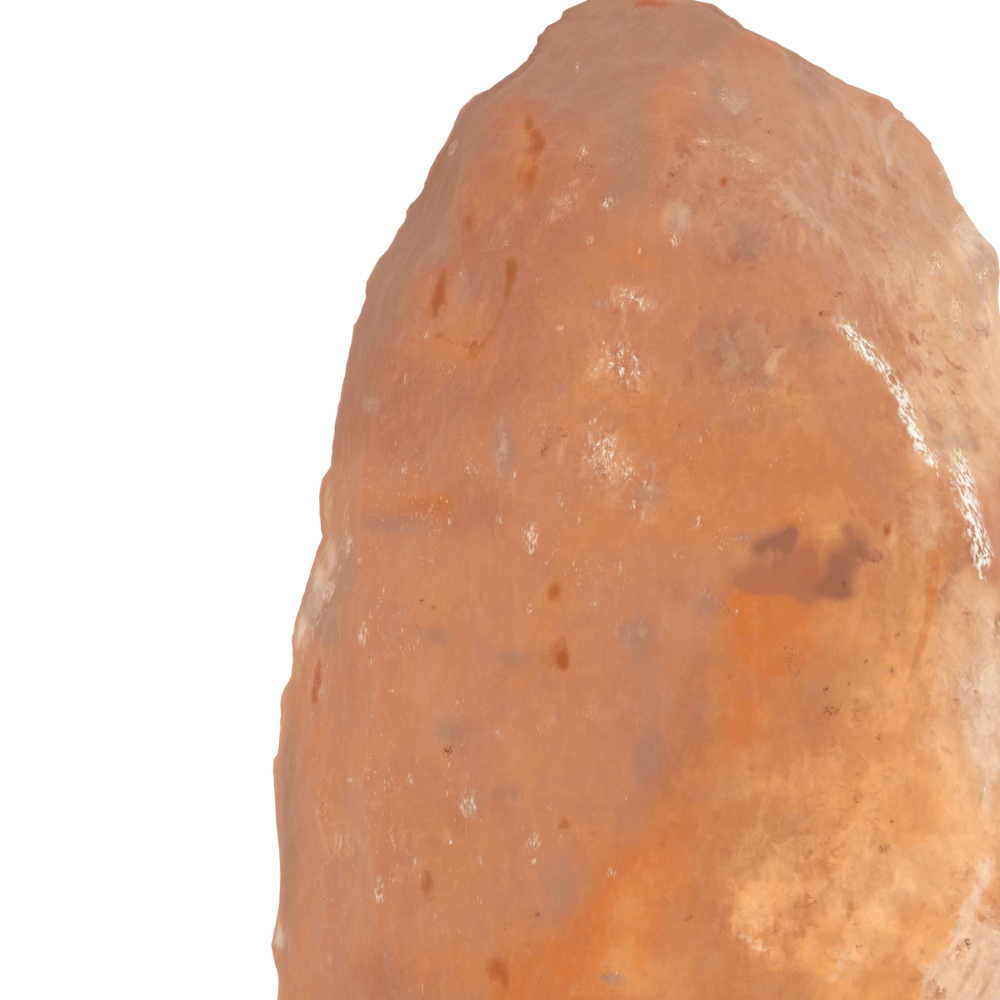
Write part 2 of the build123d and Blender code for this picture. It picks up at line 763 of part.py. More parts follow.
with BuildPart() as bulb_stem:
    with BuildSketch(Plane.XZ):
        with BuildLine():
            Polyline(
                (flare_radius, bulb_tip + flare_bottom),
                (flare_waist_radius, bulb_tip + flare_waist_height),
                (pinch_radius, bulb_tip + pinch_bottom), (pinch_radius, bulb_tip + pinch_top),
                (mount_rod_radius, bulb_tip + pinch_top),
                (mount_rod_radius, bulb_tip + mount_rod_top), (0, bulb_tip + mount_rod_top),
                (0, bulb_tip + pinch_bottom - flare_wall),
                (pinch_radius - flare_wall, bulb_tip + pinch_bottom - flare_wall),
                (flare_waist_radius - flare_wall, bulb_tip + flare_waist_height),
                (flare_radius - flare_wall, bulb_tip + flare_bottom),
                close=True,
            )
        make_face()
    revolve(axis=Axis.Z)

with BuildPart() as bulb_lead_wires:
    for side in (-1, 1):
        with BuildLine(Plane.XZ) as lead_path:
            FilletPolyline(
                (side * lead_root_offset, bulb_tip + pinch_top),
                (side * lead_root_offset, bulb_tip + lead_first_bend),
                (side * lead_reach, bulb_tip + lead_second_bend),
                (side * lead_reach, bulb_tip + lead_top),
                radius=lead_bend_radius,
            )
        with BuildSketch(Plane(origin=lead_path.line @ 0, z_dir=lead_path.line % 0)):
            Circle(lead_radius)
        sweep()

with BuildPart() as bulb_filament:
    with BuildLine(Plane.XZ) as filament_path:
        Spline(
            (-lead_reach, bulb_tip + lead_top), (0, bulb_tip + lead_top + filament_rise),
            (lead_reach, bulb_tip + lead_top),
            tangents=((0, 1), (0, -1)),
        )
    with BuildSketch(Plane(origin=filament_path.line @ 0, z_dir=filament_path.line % 0)):
        Circle(filament_radius)
    sweep()

filament_underside = bulb_tip + lead_top + filament_rise - filament_radius

with BuildPart() as filament_support:
    with Locations((0, 0, bulb_tip + mount_rod_top)):
        upright_cylinder(
            filament_support_radius,
            filament_underside - thread_gap - bulb_tip - mount_rod_top,
        )

# ---------------------------------------------------------------- labels and files
named_parts = {
    "salt_crystal": salt_crystal,
    "wooden_base": wooden_base,
    "base_screws": base_screws,
    "screw_plugs": screw_plugs,
    "rubber_feet": rubber_feet,
    "foot_screws": foot_screws,
    "cover_plate": cover_plate,
    "spring_clips": spring_clips,
    "clip_rivets": clip_rivets,
    "stem_tube": stem_tube,
    "stem_locknuts": stem_locknuts,
    "cord_bush": cord_bush,
    "holder_cap": holder_cap,
    "holder_insert": holder_insert,
    "terminal_blocks": terminal_blocks,
    "terminal_screws": terminal_screws,
    "centre_contact": centre_contact,
    "thread_shell": thread_shell,
    "contact_rivets": contact_rivets,
    "holder_skirt": holder_skirt,
    "bulb_glass": bulb_glass,
    "bulb_screw_cap": bulb_screw_cap,
    "bulb_cap_insulator": bulb_cap_insulator,
    "bulb_tip_contact": bulb_tip_contact,
    "bulb_stem": bulb_stem,
    "bulb_lead_wires": bulb_lead_wires,
    "bulb_filament": bulb_filament,
    "filament_support": filament_support,
}

os.makedirs("parts", exist_ok=True)
for node_name, made in named_parts.items():
    made.part.label = node_name
    export_step(made.part, f"parts/{node_name}.step")
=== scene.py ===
import json
import math

import bmesh
import bpy
import numpy as np
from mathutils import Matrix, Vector, noise


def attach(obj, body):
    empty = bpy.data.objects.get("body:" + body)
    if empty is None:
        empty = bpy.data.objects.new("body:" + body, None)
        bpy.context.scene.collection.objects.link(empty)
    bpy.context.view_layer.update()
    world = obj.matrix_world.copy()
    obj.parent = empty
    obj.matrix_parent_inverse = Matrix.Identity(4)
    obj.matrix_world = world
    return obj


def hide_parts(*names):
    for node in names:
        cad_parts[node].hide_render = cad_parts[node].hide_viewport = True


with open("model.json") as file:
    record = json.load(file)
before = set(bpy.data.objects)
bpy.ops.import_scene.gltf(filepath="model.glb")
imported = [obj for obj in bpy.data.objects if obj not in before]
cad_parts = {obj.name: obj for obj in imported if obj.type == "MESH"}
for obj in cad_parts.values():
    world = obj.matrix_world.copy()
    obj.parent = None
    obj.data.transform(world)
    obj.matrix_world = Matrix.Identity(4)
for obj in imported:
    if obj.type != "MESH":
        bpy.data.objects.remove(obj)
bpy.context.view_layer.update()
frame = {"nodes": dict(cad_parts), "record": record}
nodes = frame["nodes"]

MM = 0.001


def placed(name, data):
    """A new object in the scene."""
    made = bpy.data.objects.new(name, data)
    bpy.context.scene.collection.objects.link(made)
    return made


# ------------------------------------------------------------------ camera
AIM = Vector((-45.0, 0.0, 159.0)) * MM  # middle of the picture, on the boulder's axis plane
AWAY = 1.0  # from the camera to AIM
RISE = math.radians(3.5)  # the view is from a little above
SEEN = 150.0 * MM  # width of the picture at the boulder

camera_data = bpy.data.cameras.new("camera")
camera_data.sensor_width = 36.0
camera_data.lens = 36.0 * AWAY / SEEN
camera_data.clip_start = 0.05
camera_data.clip_end = 50.0
camera = placed("camera", camera_data)
back = Vector((0.0, -math.cos(RISE), math.sin(RISE)))
camera.location = AIM + back * AWAY
camera.rotation_mode = "QUATERNION"
camera.rotation_quaternion = (-back).to_track_quat("-Z", "Y")
bpy.context.scene.camera = camera


# ------------------------------------------------------------------ node helpers
class Net:
    """Short ways to add and join the nodes of one material."""

    def __init__(self, name):
        self.material = bpy.data.materials.new(name)
        self.material.use_nodes = True
        self.tree = self.material.node_tree
        self.tree.nodes.clear()
        self.out = self.tree.nodes.new("ShaderNodeOutputMaterial")
        self.place = self.tree.nodes.new("ShaderNodeTexCoord").outputs["Object"]

    def in_mm(self):
        return self.scaled(self.place, (1000.0, 1000.0, 1000.0))

    def node(self, kind, inputs=None, **settings):
        made = self.tree.nodes.new(kind)
        for key, value in settings.items():
            setattr(made, key, value)
        for key, value in (inputs or {}).items():
            self.feed(made.inputs[key], value)
        return made

    def feed(self, socket, value):
        if isinstance(value, bpy.types.NodeSocket):
            self.tree.links.new(value, socket)
        elif isinstance(value, (tuple, list)) and socket.type == "RGBA" and len(value) == 3:
            socket.default_value = (*value, 1.0)
        else:
            socket.default_value = value

    def math(self, operation, a, b=0.0, c=0.0, clamp=False):
        made = self.node("ShaderNodeMath", {0: a, 1: b, 2: c}, operation=operation, use_clamp=clamp)
        return made.outputs[0]

    def vec(self, operation, a, b=(0.0, 0.0, 0.0)):
        made = self.node("ShaderNodeVectorMath", {0: a, 1: b}, operation=operation)
        return made.outputs["Value" if operation in ("LENGTH", "DISTANCE", "DOT_PRODUCT") else 0]

    def scaled(self, vector, factors):
        return self.vec("MULTIPLY", vector, factors)

    def axes(self, vector):
        made = self.node("ShaderNodeSeparateXYZ", {0: vector})
        return made.outputs[0], made.outputs[1], made.outputs[2]

    def ramp(self, value, low, high, to_low=0.0, to_high=1.0, smooth=True):
        kind = "SMOOTHSTEP" if smooth else "LINEAR"
        made = self.node(
            "ShaderNodeMapRange",
            {"Value": value, "From Min": low, "From Max": high, "To Min": to_low,
             "To Max": to_high},
            interpolation_type=kind,
        )
        return made.outputs[0]

    def noise(self, vector, scale, detail=4.0, rough=0.55, warp=0.0):
        made = self.node(
            "ShaderNodeTexNoise",
            {"Vector": vector, "Scale": scale, "Detail": detail, "Roughness": rough,
             "Distortion": warp},
        )
        return made.outputs[0]

    def noise_color(self, vector, scale, detail=2.0):
        made = self.node("ShaderNodeTexNoise", {"Vector": vector, "Scale": scale, "Detail": detail})
        return made.outputs[1]

    def cells(self, vector, scale, feature="F1", output="Distance", random=1.0):
        made = self.node(
            "ShaderNodeTexVoronoi", {"Vector": vector, "Scale": scale, "Randomness": random},
            feature=feature,
        )
        return made.outputs[output]

    def mix(self, factor, a, b, blend="MIX"):
        made = self.node("ShaderNodeMix", data_type="RGBA", blend_type=blend)
        self.feed(made.inputs[0], factor)
        self.feed(made.inputs[6], a)
        self.feed(made.inputs[7], b)
        return made.outputs[2]

    def bump(self, height, distance, strength=1.0, normal=None):
        inputs = {"Height": height, "Distance": distance, "Strength": strength}
        if normal is not None:
            inputs["Normal"] = normal
        return self.node("ShaderNodeBump", inputs).outputs[0]

    def surface(self, **inputs):
        shader = self.tree.nodes.new("ShaderNodeBsdfPrincipled")
        for key, value in inputs.items():
            self.feed(shader.inputs[key.replace("_", " ")], value)
        self.tree.links.new(shader.outputs[0], self.out.inputs[0])
        return shader


def srgb(red, green, blue):
    """A colour as it looks on a screen, 0 to 255, as the linear colour that shaders take."""
    shades = []
    for shade in (red, green, blue):
        shade /= 255.0
        shades.append(shade / 12.92 if shade <= 0.04045 else ((shade + 0.055) / 1.055) ** 2.4)
    return tuple(shades)


# ------------------------------------------------------------------ boulder: shape
AXIS_RADIUS = 24.4  # anything nearer to the axis than this, below the bore's end, is the bore
BORE_TOP = 148.0
SAWN = 28.0  # height of the sawn underside
PLUG_RING, PLUG_RADIUS, PLUG_TOP = 42.0, 6.0, 57.0  # where the drilled holes for the plugs are
PLUG_BEARINGS = (30.0, 150.0, 270.0)
VOXEL = 1.68  # mesh size
PICTURE = 1000.0  # pixels across and down the photograph's frame
PICTURE_FOOT = 82.0  # a height just under the picture's lower edge
SPOT_REACH = 2.4  # where a soft ellipse ends, in half widths
SPOT_FALL = 0.9
LINE_REACH = 60  # how far from a line, in pixels, the material can tell the distance to it

# Lines on the boulder's front, as (column, row) in the photograph's frame of 1000 by 1000.
RIDGE = ((829, 306), (838, 322), (853, 339), (867, 353), (883, 370), (896, 390), (905, 417),
         (917, 440), (930, 461))
RIDGE_FOOT = ((950, 432), (955, 455), (961, 474), (966, 500), (970, 520), (977, 542), (980, 560))
FLAKE = ((343, 455), (350, 505), (346, 545), (334, 596), (318, 622), (308, 650), (299, 676))


def remeshed(source, name, voxel):
    """A copy of a piece with an even mesh of small quads."""
    mesh = source.data.copy()
    copy = placed(name, mesh)
    modifier = copy.modifiers.new("even", "REMESH")
    modifier.mode = "VOXEL"
    modifier.voxel_size = voxel
    modifier.use_smooth_shade = True
    graph = bpy.context.evaluated_depsgraph_get()
    made = bpy.data.meshes.new_from_object(copy.evaluated_get(graph))
    copy.modifiers.clear()
    copy.data = made
    bpy.data.meshes.remove(mesh)
    return copy


def read_points(mesh):
    points = np.empty(len(mesh.vertices) * 3, dtype=np.float64)
    mesh.vertices.foreach_get("co", points)
    return points.reshape(-1, 3)


def read_normals(mesh):
    normals = np.empty(len(mesh.vertices) * 3, dtype=np.float64)
    mesh.vertices.foreach_get("normal", normals)
    return normals.reshape(-1, 3)


def write_points(mesh, points):
    mesh.vertices.foreach_set("co", points.astype(np.float32).ravel())
    mesh.update()


def smoothed(mesh, points, weight, times, factor=0.5):
    """Moves each point towards the mean of its neighbours, as far as its weight lets it."""
    edges = np.empty(len(mesh.edges) * 2, dtype=np.int64)
    mesh.edges.foreach_get("vertices", edges)
    edges = edges.reshape(-1, 2)
    count = np.bincount(edges.ravel(), minlength=len(points)).clip(min=1)[:, None]
    for _ in range(times):
        total = np.zeros_like(points)
        np.add.at(total, edges[:, 0], points[edges[:, 1]])
        np.add.at(total, edges[:, 1], points[edges[:, 0]])
        points = points + (total / count - points) * weight[:, None] * factor
    return points


def step(low, high, value):
    t = np.clip((value - low) / (high - low), 0.0, 1.0)
    return t * t * (3.0 - 2.0 * t)


def in_picture(points):
    """Column and row of each point, in mm on the object, in the photograph's frame."""
    turn = np.array(camera.rotation_quaternion.to_matrix())
    local = (points * MM - np.array(camera.location)) @ turn
    reach = PICTURE * camera_data.lens / camera_data.sensor_width / -local[:, 2]
    return PICTURE / 2 + local[:, 0] * reach, PICTURE / 2 - local[:, 1] * reach


def side_of(line, column, row):
    """Distance in pixels from a line of points, positive on the right of one that runs down."""
    best = np.full(len(column), 1e9)
    sign = np.ones(len(column))
    for (ax, ay), (bx, by) in zip(line, line[1:]):
        dx, dy = bx - ax, by - ay
        t = np.clip(((column - ax) * dx + (row - ay) * dy) / (dx * dx + dy * dy), 0.0, 1.0)
        gap = np.hypot(column - ax - t * dx, row - ay - t * dy)
        cross = (column - ax) * dy - (row - ay) * dx
        nearer = gap < best
        best = np.where(nearer, gap, best)
        sign = np.where(nearer, np.where(cross > 0, 1.0, -1.0), sign)
    return best * sign


def patches(spots, column, row):
    """Sum of the soft ellipses at each point."""
    total = np.zeros(len(column))
    for across, down, wide, high, strength, *turn in spots:
        reach = SPOT_REACH * max(wide, high)
        near = np.nonzero((abs(column - across) < reach) & (abs(row - down) < reach))[0]
        angle = math.radians(turn[0] if turn else 0)
        c, s = math.cos(angle), math.sin(angle)
        dx, dy = column[near] - across, row[near] - down
        u, v = (dx * c + dy * s) / wide, (dy * c - dx * s) / high
        total[near] += strength * np.exp(-SPOT_FALL * (u * u + v * v))
    return total


def rock_relief(points, normals, front):
    """How far each point of the boulder moves along its normal, in mm."""
    relief = np.zeros(len(points))
    open_face = step(0.35, 0.8, np.abs(normals @ np.array(back)))
    for i, (x, y, z) in enumerate(points.tolist()):
        sway = [noise.noise(Vector((x / 14 + shift, y / 14, z / 14 + 2.0)))
                for shift in (9.3, 31.7, 57.1)]
        place = Vector((x, y, z)) + Vector(sway) * 3.0
        deep = noise.voronoi(Vector((place.x / 17, place.y / 17, place.z / 23)))[0][0]
        scoop = noise.voronoi(Vector((place.x / 7 + 3.1, place.y / 7, place.z / 9.5)))[0][0]
        chip = noise.voronoi(Vector((place.x / 3.0, place.y / 3.0 + 5.0, place.z / 4.2)))[0][0]
        lumps = 0.55 * noise.noise(Vector((x / 31, y / 31, z / 38 + 4.1)))
        lumps += 0.30 * noise.noise(Vector((x / 13 + 7.7, y / 13, z / 19)))
        grooves = 0.12 * open_face[i] * noise.noise(Vector((x / 2.6 + 1.5, y / 2.6, z / 20)))
        scoops = 1.5 * deep * deep + 0.8 * scoop * scoop + 0.34 * chip * chip
        relief[i] = lumps + grooves + scoops - 0.75
    column, row = in_picture(points)
    z = points[:, 2]
    ridge = side_of(RIDGE, column, row)
    reach = front * step(296.0, 330.0, row) * step(500.0, 440.0, row)
    relief -= 1.0 * reach * step(-2.0, 9.0, ridge) * step(100.0, 15.0, ridge)
    relief += 0.5 * reach * step(-28.0, -4.0, ridge) * step(5.0, -1.5, ridge)
    foot = side_of(RIDGE_FOOT, column, row)
    reach = front * step(425.0, 450.0, row) * step(600.0, 540.0, row)
    relief -= 0.9 * reach * step(-2.0, 8.0, foot)
    flake = side_of(FLAKE, column, row)
    reach = front * step(440.0, 480.0, row) * step(700.0, 650.0, row)
    relief -= 0.5 * reach * step(-5.0, 5.0, -flake) * step(80.0, 20.0, -flake)
    return relief


# What the boulder's front shows, each kind as soft ellipses placed in the photograph's
# frame: column, row, half width, half height, strength and, where it isn't 0, turn in degrees.
MARKS = {
    "dusk": (
        (380, 1070, 80, 50, .6), (1100, 200, 60, 50, .5), (1210, 560, 40, 90, .6),
        (1000, 975, 30, 60, .2, 20), (725, 775, 34, 30, .4, 20), (775, 872, 26, 34, .4),
        (825, 825, 24, 22, .25), (876, 826, 16, 22, .2), (725, 226, 24, 24, .25),
        (820, 150, 26, 34, .25, 10), (526, 124, 24, 24, .35), (925, 400, 18, 50, .28),
        (876, 376, 18, 18, .2), (828, 530, 26, 20, .25), (1060, 700, 20, 50, .4, 10),
        (1090, 950, 24, 50, .5, 20), (738, 350, 34, 34, .9), (742, 236, 20, 22, .8, 20),
        (708, 345, 14, 26, .5), (815, 338, 26, 16, .7), (775, 872, 40, 12, .7),
        (728, 775, 16, 26, .7), (728, 780, 22, 34, .6), (780, 875, 44, 16, .7),
        (828, 822, 28, 16, .6), (830, 672, 40, 16, .4), (775, 925, 24, 20, .4),
        (700, 690, 20, 40, .5), (775, 880, 50, 14, .7), (830, 825, 30, 20, .6),
        (750, 925, 30, 14, .5), (725, 880, 16, 60, .5), (725, 225, 24, 30, .5),
        (690, 175, 40, 30, .3), (725, 775, 24, 40, 1), (825, 775, 34, 24, .8),
        (775, 865, 40, 12, .9), (720, 200, 50, 50, .5), (670, 140, 40, 50, .4),
        (825, 725, 30, 30, .5), (830, 400, 40, 30, .4), (625, 400, 40, 60, .4),
        (740, 225, 34, 40, .9, 20), (680, 170, 40, 50, .7), (715, 780, 30, 26, .8),
        (800, 870, 26, 30, .9), (775, 780, 40, 40, .4), (735, 130, 40, 30, .6),
        (730, 60, 40, 20, .5), (830, 820, 60, 30, .4, -20), (870, 700, 20, 40, .3),
        (480, 120, 20, 30, .9, 30), (515, 85, 26, 20, .9, -30), (425, 225, 16, 40, .6, 20),
        (950, 585, 12, 34, .5, 10), (720, 240, 14, 12, .4), (462, 245, 56, 80, 1.1, 10),
        (440, 170, 50, 50, 1.1, 30), (395, 330, 36, 70, .8, 10), (505, 125, 50, 50, 1.3, 20),
        (560, 95, 40, 40, .7), (520, 310, 40, 70, .9), (480, 390, 60, 34, .9),
        (600, 180, 34, 60, .5), (735, 345, 44, 54, .5), (750, 235, 26, 34, .5, 20),
        (655, 720, 36, 100, .35), (708, 930, 22, 70, .7), (800, 865, 40, 30, .5),
        (560, 60, 60, 50, .7), (340, 420, 34, 70, .6), (470, 510, 54, 36, .9),
        (380, 400, 40, 50, .6), (700, 820, 40, 50, .5), (525, 200, 40, 50, .8),
        (645, 20, 60, 20, .7), (822, 690, 34, 40, 1), (800, 340, 34, 26, .4),
        (545, 905, 34, 44, .35), (290, 860, 20, 140, .3), (400, 980, 60, 40, .7),
        (745, 40, 60, 30, .5, 20), (575, 240, 40, 40, .5), (420, 440, 50, 50, .6),
        (780, 560, 60, 40, .4), (855, 530, 26, 30, .9, 30), (700, 700, 26, 90, .5),
        (735, 780, 40, 40, .5), (670, 790, 30, 50, .5), (745, 965, 40, 34, .7),
        (790, 850, 60, 14, .6, -14), (690, 100, 50, 60, .5), (880, 180, 60, 60, .25),
        (975, 560, 16, 40, .8), (950, 590, 30, 50, .7, 10), (480, 930, 60, 40, .3),
        (620, 300, 24, 20, .3), (380, 520, 40, 16, .5)),
    "orange": (
        (975, 580, 24, 30, .45), (926, 626, 22, 22, .35), (976, 690, 16, 40, .35),
        (1110, 480, 60, 90, .6), (1190, 690, 60, 120, .7), (1080, 560, 40, 60, .5),
        (720, 1060, 120, 60, .7), (1080, 1000, 60, 70, .6), (1200, 400, 50, 80, .5),
        (840, 555, 50, 60, .4), (880, 875, 50, 40, .4), (440, 970, 50, 34, .7),
        (675, 690, 24, 60, .5), (780, 960, 60, 40, .4), (675, 105, 34, 78, .7),
        (530, 140, 24, 50, .8, -8), (455, 335, 50, 50, .9), (432, 290, 26, 44, .6),
        (500, 200, 30, 40, .5, 20), (480, 400, 40, 30, .3), (560, 255, 40, 50, .4, 20),
        (640, 265, 50, 44, .8), (640, 440, 60, 60, .8), (765, 478, 110, 44, 1.1),
        (770, 650, 60, 70, 1.3), (742, 730, 34, 70, .9), (705, 810, 50, 60, .6),
        (570, 965, 100, 50, 1.3), (665, 930, 60, 90, 1.2), (500, 640, 50, 50, .35),
        (375, 700, 60, 90, .5), (425, 500, 60, 34, .7), (575, 690, 40, 80, .4),
        (880, 600, 60, 90, .8), (850, 780, 110, 90, .9), (450, 850, 70, 50, .6),
        (330, 760, 34, 60, .4), (720, 520, 60, 44, .7), (590, 370, 50, 60, .6),
        (480, 200, 24, 26, .3), (780, 420, 60, 40, .6), (570, 850, 40, 50, .3),
        (560, 590, 40, 60, .5), (600, 530, 40, 30, .6), (520, 740, 50, 40, .3),
        (620, 820, 50, 60, .4), (800, 960, 120, 60, .6)),
    "fire": (
        (545, 1050, 60, 44, 1), (640, 1030, 40, 40, .6), (1150, 850, 24, 40, .5),
        (762, 622, 34, 36, 1.5), (790, 640, 34, 34, 1), (740, 604, 14, 16, .8),
        (755, 675, 26, 44, .7), (735, 720, 28, 44, .6), (760, 745, 30, 24, .5),
        (715, 775, 34, 26, .5), (675, 810, 26, 34, .5), (632, 900, 44, 44, 1, 20),
        (655, 868, 40, 26, .8), (560, 978, 54, 30, 1.2), (515, 988, 34, 26, 1.3),
        (600, 935, 34, 34, .9), (575, 945, 30, 22, 1), (790, 515, 50, 18, .7),
        (806, 545, 12, 20, .6), (640, 60, 14, 44, .6), (655, 95, 22, 34, .6),
        (530, 140, 16, 36, .6, -8), (630, 258, 28, 22, .6), (425, 500, 40, 18, .7),
        (475, 350, 26, 18, .7), (665, 445, 20, 60, .5), (655, 520, 34, 20, .4),
        (930, 600, 7, 44, 1, 8), (917, 645, 9, 22, .9, 6), (908, 682, 10, 18, .9, 10),
        (905, 720, 14, 30, .7), (850, 912, 8, 12, 1.2), (600, 425, 30, 24, .5),
        (520, 678, 44, 14, .4, -20), (555, 590, 16, 24, .5), (870, 985, 70, 20, .6),
        (620, 960, 40, 24, .7), (940, 560, 20, 16, .8), (840, 620, 40, 30, .4),
        (440, 290, 12, 30, .5), (880, 440, 16, 40, .5), (700, 850, 60, 60, .3)),
    # yellow: painted light, mostly the glow of the bulb through the salt at the lower right; the
    # emission reads these marks too
    "yellow": (
        (1060, 860, 70, 70, .8), (1130, 760, 60, 90, .7), (1000, 1060, 90, 40, .7),
        (1160, 980, 80, 60, .6), (820, 1070, 100, 50, .9), (660, 1080, 60, 50, .5),
        (972, 580, 22, 26, .6), (850, 575, 24, 30, .3), (752, 902, 26, 40, .6),
        (840, 955, 30, 44, .7), (925, 940, 30, 40, .6), (805, 505, 60, 16, .5),
        (830, 532, 16, 12, .9), (850, 628, 46, 28, .5), (895, 650, 30, 70, .7),
        (905, 720, 50, 80, 1), (860, 800, 90, 54, .8), (905, 900, 80, 80, 1.5),
        (860, 880, 44, 34, .8), (930, 800, 50, 70, .9), (795, 930, 44, 40, .5),
        (655, 890, 30, 34, .3, 20), (890, 970, 70, 40, 1), (645, 975, 50, 30, .6),
        (770, 790, 34, 44, .2), (700, 500, 40, 20, .3), (625, 930, 20, 40, .4, 15),
        (780, 402, 20, 16, .6), (905, 520, 24, 60, .5), (935, 470, 20, 30, .5),
        (790, 395, 40, 30, .2), (930, 640, 30, 50, .6), (625, 475, 26, 30, .45),
        (620, 375, 34, 30, .4), (900, 380, 30, 60, .4), (770, 900, 40, 40, .7),
        (840, 690, 14, 30, .4), (880, 700, 20, 60, .5), (620, 345, 40, 30, .3),
        (780, 325, 30, 20, .5), (765, 715, 8, 16, .5)),
    # cream: partly the salt's own tone, partly painted light, the glow where light from behind
    # comes through at the right
    "cream": (
        (1040, 320, 60, 70, .9), (1070, 430, 50, 60, .6), (1035, 630, 36, 80, .9, 10),
        (1050, 770, 40, 60, .7), (1110, 900, 60, 50, .6), (1130, 360, 50, 60, .5, 20),
        (1120, 640, 40, 70, .5), (1160, 520, 30, 50, .4), (930, 1080, 60, 40, .5),
        (771, 366, 6, 12, 1.3, 14), (784, 350, 9, 4, .9, -30), (757, 388, 8, 5, .7),
        (908, 388, 9, 12, 1.2, 20), (918, 425, 6, 10, .8), (820, 522, 10, 12, .3, 20),
        (838, 534, 6, 10, .3), (892, 540, 5, 14, .8, 10), (886, 574, 6, 12, .7, 14),
        (876, 690, 6, 14, .8, 10), (930, 745, 10, 14, .7), (850, 740, 10, 8, .6, 20),
        (668, 215, 8, 20, .7, 10), (560, 455, 5, 16, .6), (905, 240, 16, 20, .9, 20),
        (862, 120, 16, 10, .6, 30), (800, 130, 24, 8, .6, 20), (880, 215, 20, 8, .8, 30),
        (976, 722, 24, 44, .9), (940, 680, 24, 30, .5), (960, 190, 40, 30, .8, 40),
        (985, 230, 30, 40, .9), (975, 370, 30, 60, .5), (930, 215, 30, 24, .4, 30),
        (833, 897, 8, 24, 1.3), (880, 886, 15, 36, 1.5, -10), (927, 876, 14, 24, .9),
        (757, 908, 12, 24, .6), (735, 880, 8, 16, .2), (847, 962, 12, 30, .9, 6),
        (976, 700, 26, 50, .7), (965, 655, 20, 30, .4), (975, 300, 40, 60, .9),
        (985, 400, 24, 60, .8), (950, 230, 40, 30, .8, 40), (925, 525, 22, 26, .7),
        (880, 880, 40, 30, .5), (930, 870, 30, 30, .8), (965, 600, 24, 30, .8),
        (925, 500, 20, 30, .4), (975, 650, 34, 60, 1.2), (972, 730, 40, 70, 1.2),
        (982, 830, 34, 70, 1), (960, 890, 30, 40, .5), (925, 265, 50, 44, .6),
        (765, 890, 34, 26, .2), (940, 340, 50, 60, .6), (962, 420, 40, 60, .8),
        (985, 470, 20, 40, .3), (880, 195, 70, 50, .5, 20), (925, 455, 24, 20, .4),
        (925, 405, 20, 20, .4), (770, 930, 34, 20, .3), (868, 885, 30, 40, .5),
        (935, 400, 30, 20, .4), (985, 280, 30, 80, 1.1), (860, 960, 26, 20, .4),
        (960, 250, 30, 40, .8, 30), (820, 95, 50, 30, .35, 30), (910, 150, 40, 50, .5, 20),
        (965, 215, 30, 50, .9, 20), (900, 268, 26, 26, .6), (870, 130, 40, 30, .25, 20),
        (895, 880, 26, 30, .6)),
    # pale: mostly painted light, the whitish glow at the right edge and the lower right, and
    # painted highlights along the flake's edge
    "pale": (
        (1040, 1010, 34, 40, .9, -30), (1062, 340, 18, 40, .4, 10), (1016, 700, 12, 50, .5, 8),
        (1090, 820, 12, 30, .4, 20), (1130, 430, 14, 24, .4), (985, 610, 14, 30, .4),
        (935, 520, 20, 40, .3), (985, 985, 46, 44, 2.2, -30), (950, 990, 22, 22, 1, -30),
        (988, 945, 16, 26, .8, -30), (986, 868, 9, 14, 1.2, 10), (975, 900, 6, 24, 1, 24),
        (962, 922, 5, 20, .9, 26), (987, 792, 8, 24, .9), (993, 770, 8, 12, .9),
        (985, 755, 8, 7, .6), (990, 910, 9, 8, .6), (905, 270, 34, 26, .5),
        (975, 240, 30, 26, 1, 40), (978, 718, 20, 46, 1), (945, 690, 16, 20, .4),
        (985, 310, 14, 40, .8), (990, 670, 12, 50, .7), (965, 680, 10, 30, .4),
        (745, 938, 14, 5, .9, 40), (764, 947, 10, 4, .8, 20), (736, 912, 4, 22, .5, -20),
        (826, 905, 6, 20, .5), (828, 978, 8, 6, .7, 40), (842, 960, 8, 14, .6, 10),
        (300, 625, 12, 44, .8, 8), (278, 935, 8, 16, .9), (327, 500, 8, 34, .6),
        (318, 590, 9, 30, .9, 8), (333, 560, 5, 20, .6), (850, 885, 20, 12, .4)),
    "beige": (
        (1090, 290, 70, 60, .7, 20), (1150, 560, 60, 80, .6), (1000, 540, 30, 30, .3),
        (420, 1090, 90, 60, .5), (1180, 800, 60, 80, .4), (800, 110, 90, 60, .9, 25),
        (880, 180, 80, 80, 1, 30), (760, 175, 60, 60, .7), (715, 70, 50, 44, .6),
        (840, 250, 70, 50, .6), (925, 215, 40, 50, .7), (720, 225, 50, 30, .5),
        (960, 190, 20, 30, .3), (675, 170, 44, 60, .6), (620, 215, 30, 40, .4),
        (500, 240, 30, 40, .2), (660, 690, 30, 110, .35), (600, 720, 30, 60, .4),
        (430, 700, 40, 60, .4), (590, 620, 50, 40, .3), (700, 620, 26, 60, .5),
        (330, 860, 40, 60, .2), (420, 290, 16, 30, .2), (820, 420, 40, 20, .4),
        (855, 340, 40, 40, .5)),
    "grey": (
        (600, 26, 50, 26, .35), (330, 570, 36, 60, .3), (450, 300, 30, 30, .22),
        (738, 228, 10, 12, .6, 30), (752, 245, 12, 8, .6), (727, 215, 8, 6, .5),
        (722, 345, 14, 8, .5, 20), (740, 364, 16, 10, .5), (742, 326, 12, 6, .5),
        (812, 335, 16, 8, .4), (766, 380, 8, 5, .5, 30), (560, 388, 5, 10, 1),
        (520, 378, 12, 4, .8), (505, 455, 6, 26, .8), (985, 260, 24, 40, .5),
        (425, 322, 30, 24, .5), (385, 275, 16, 26, .5, 20), (585, 48, 70, 46, 2.6),
        (634, 140, 18, 76, 1.1), (690, 35, 40, 24, 1.3), (718, 86, 9, 18, .9),
        (706, 112, 9, 12, .6), (402, 245, 34, 70, .8, 26), (365, 320, 26, 60, .9, 15),
        (441, 255, 12, 12, .6), (752, 232, 26, 18, .7, 30), (748, 254, 12, 8, .9),
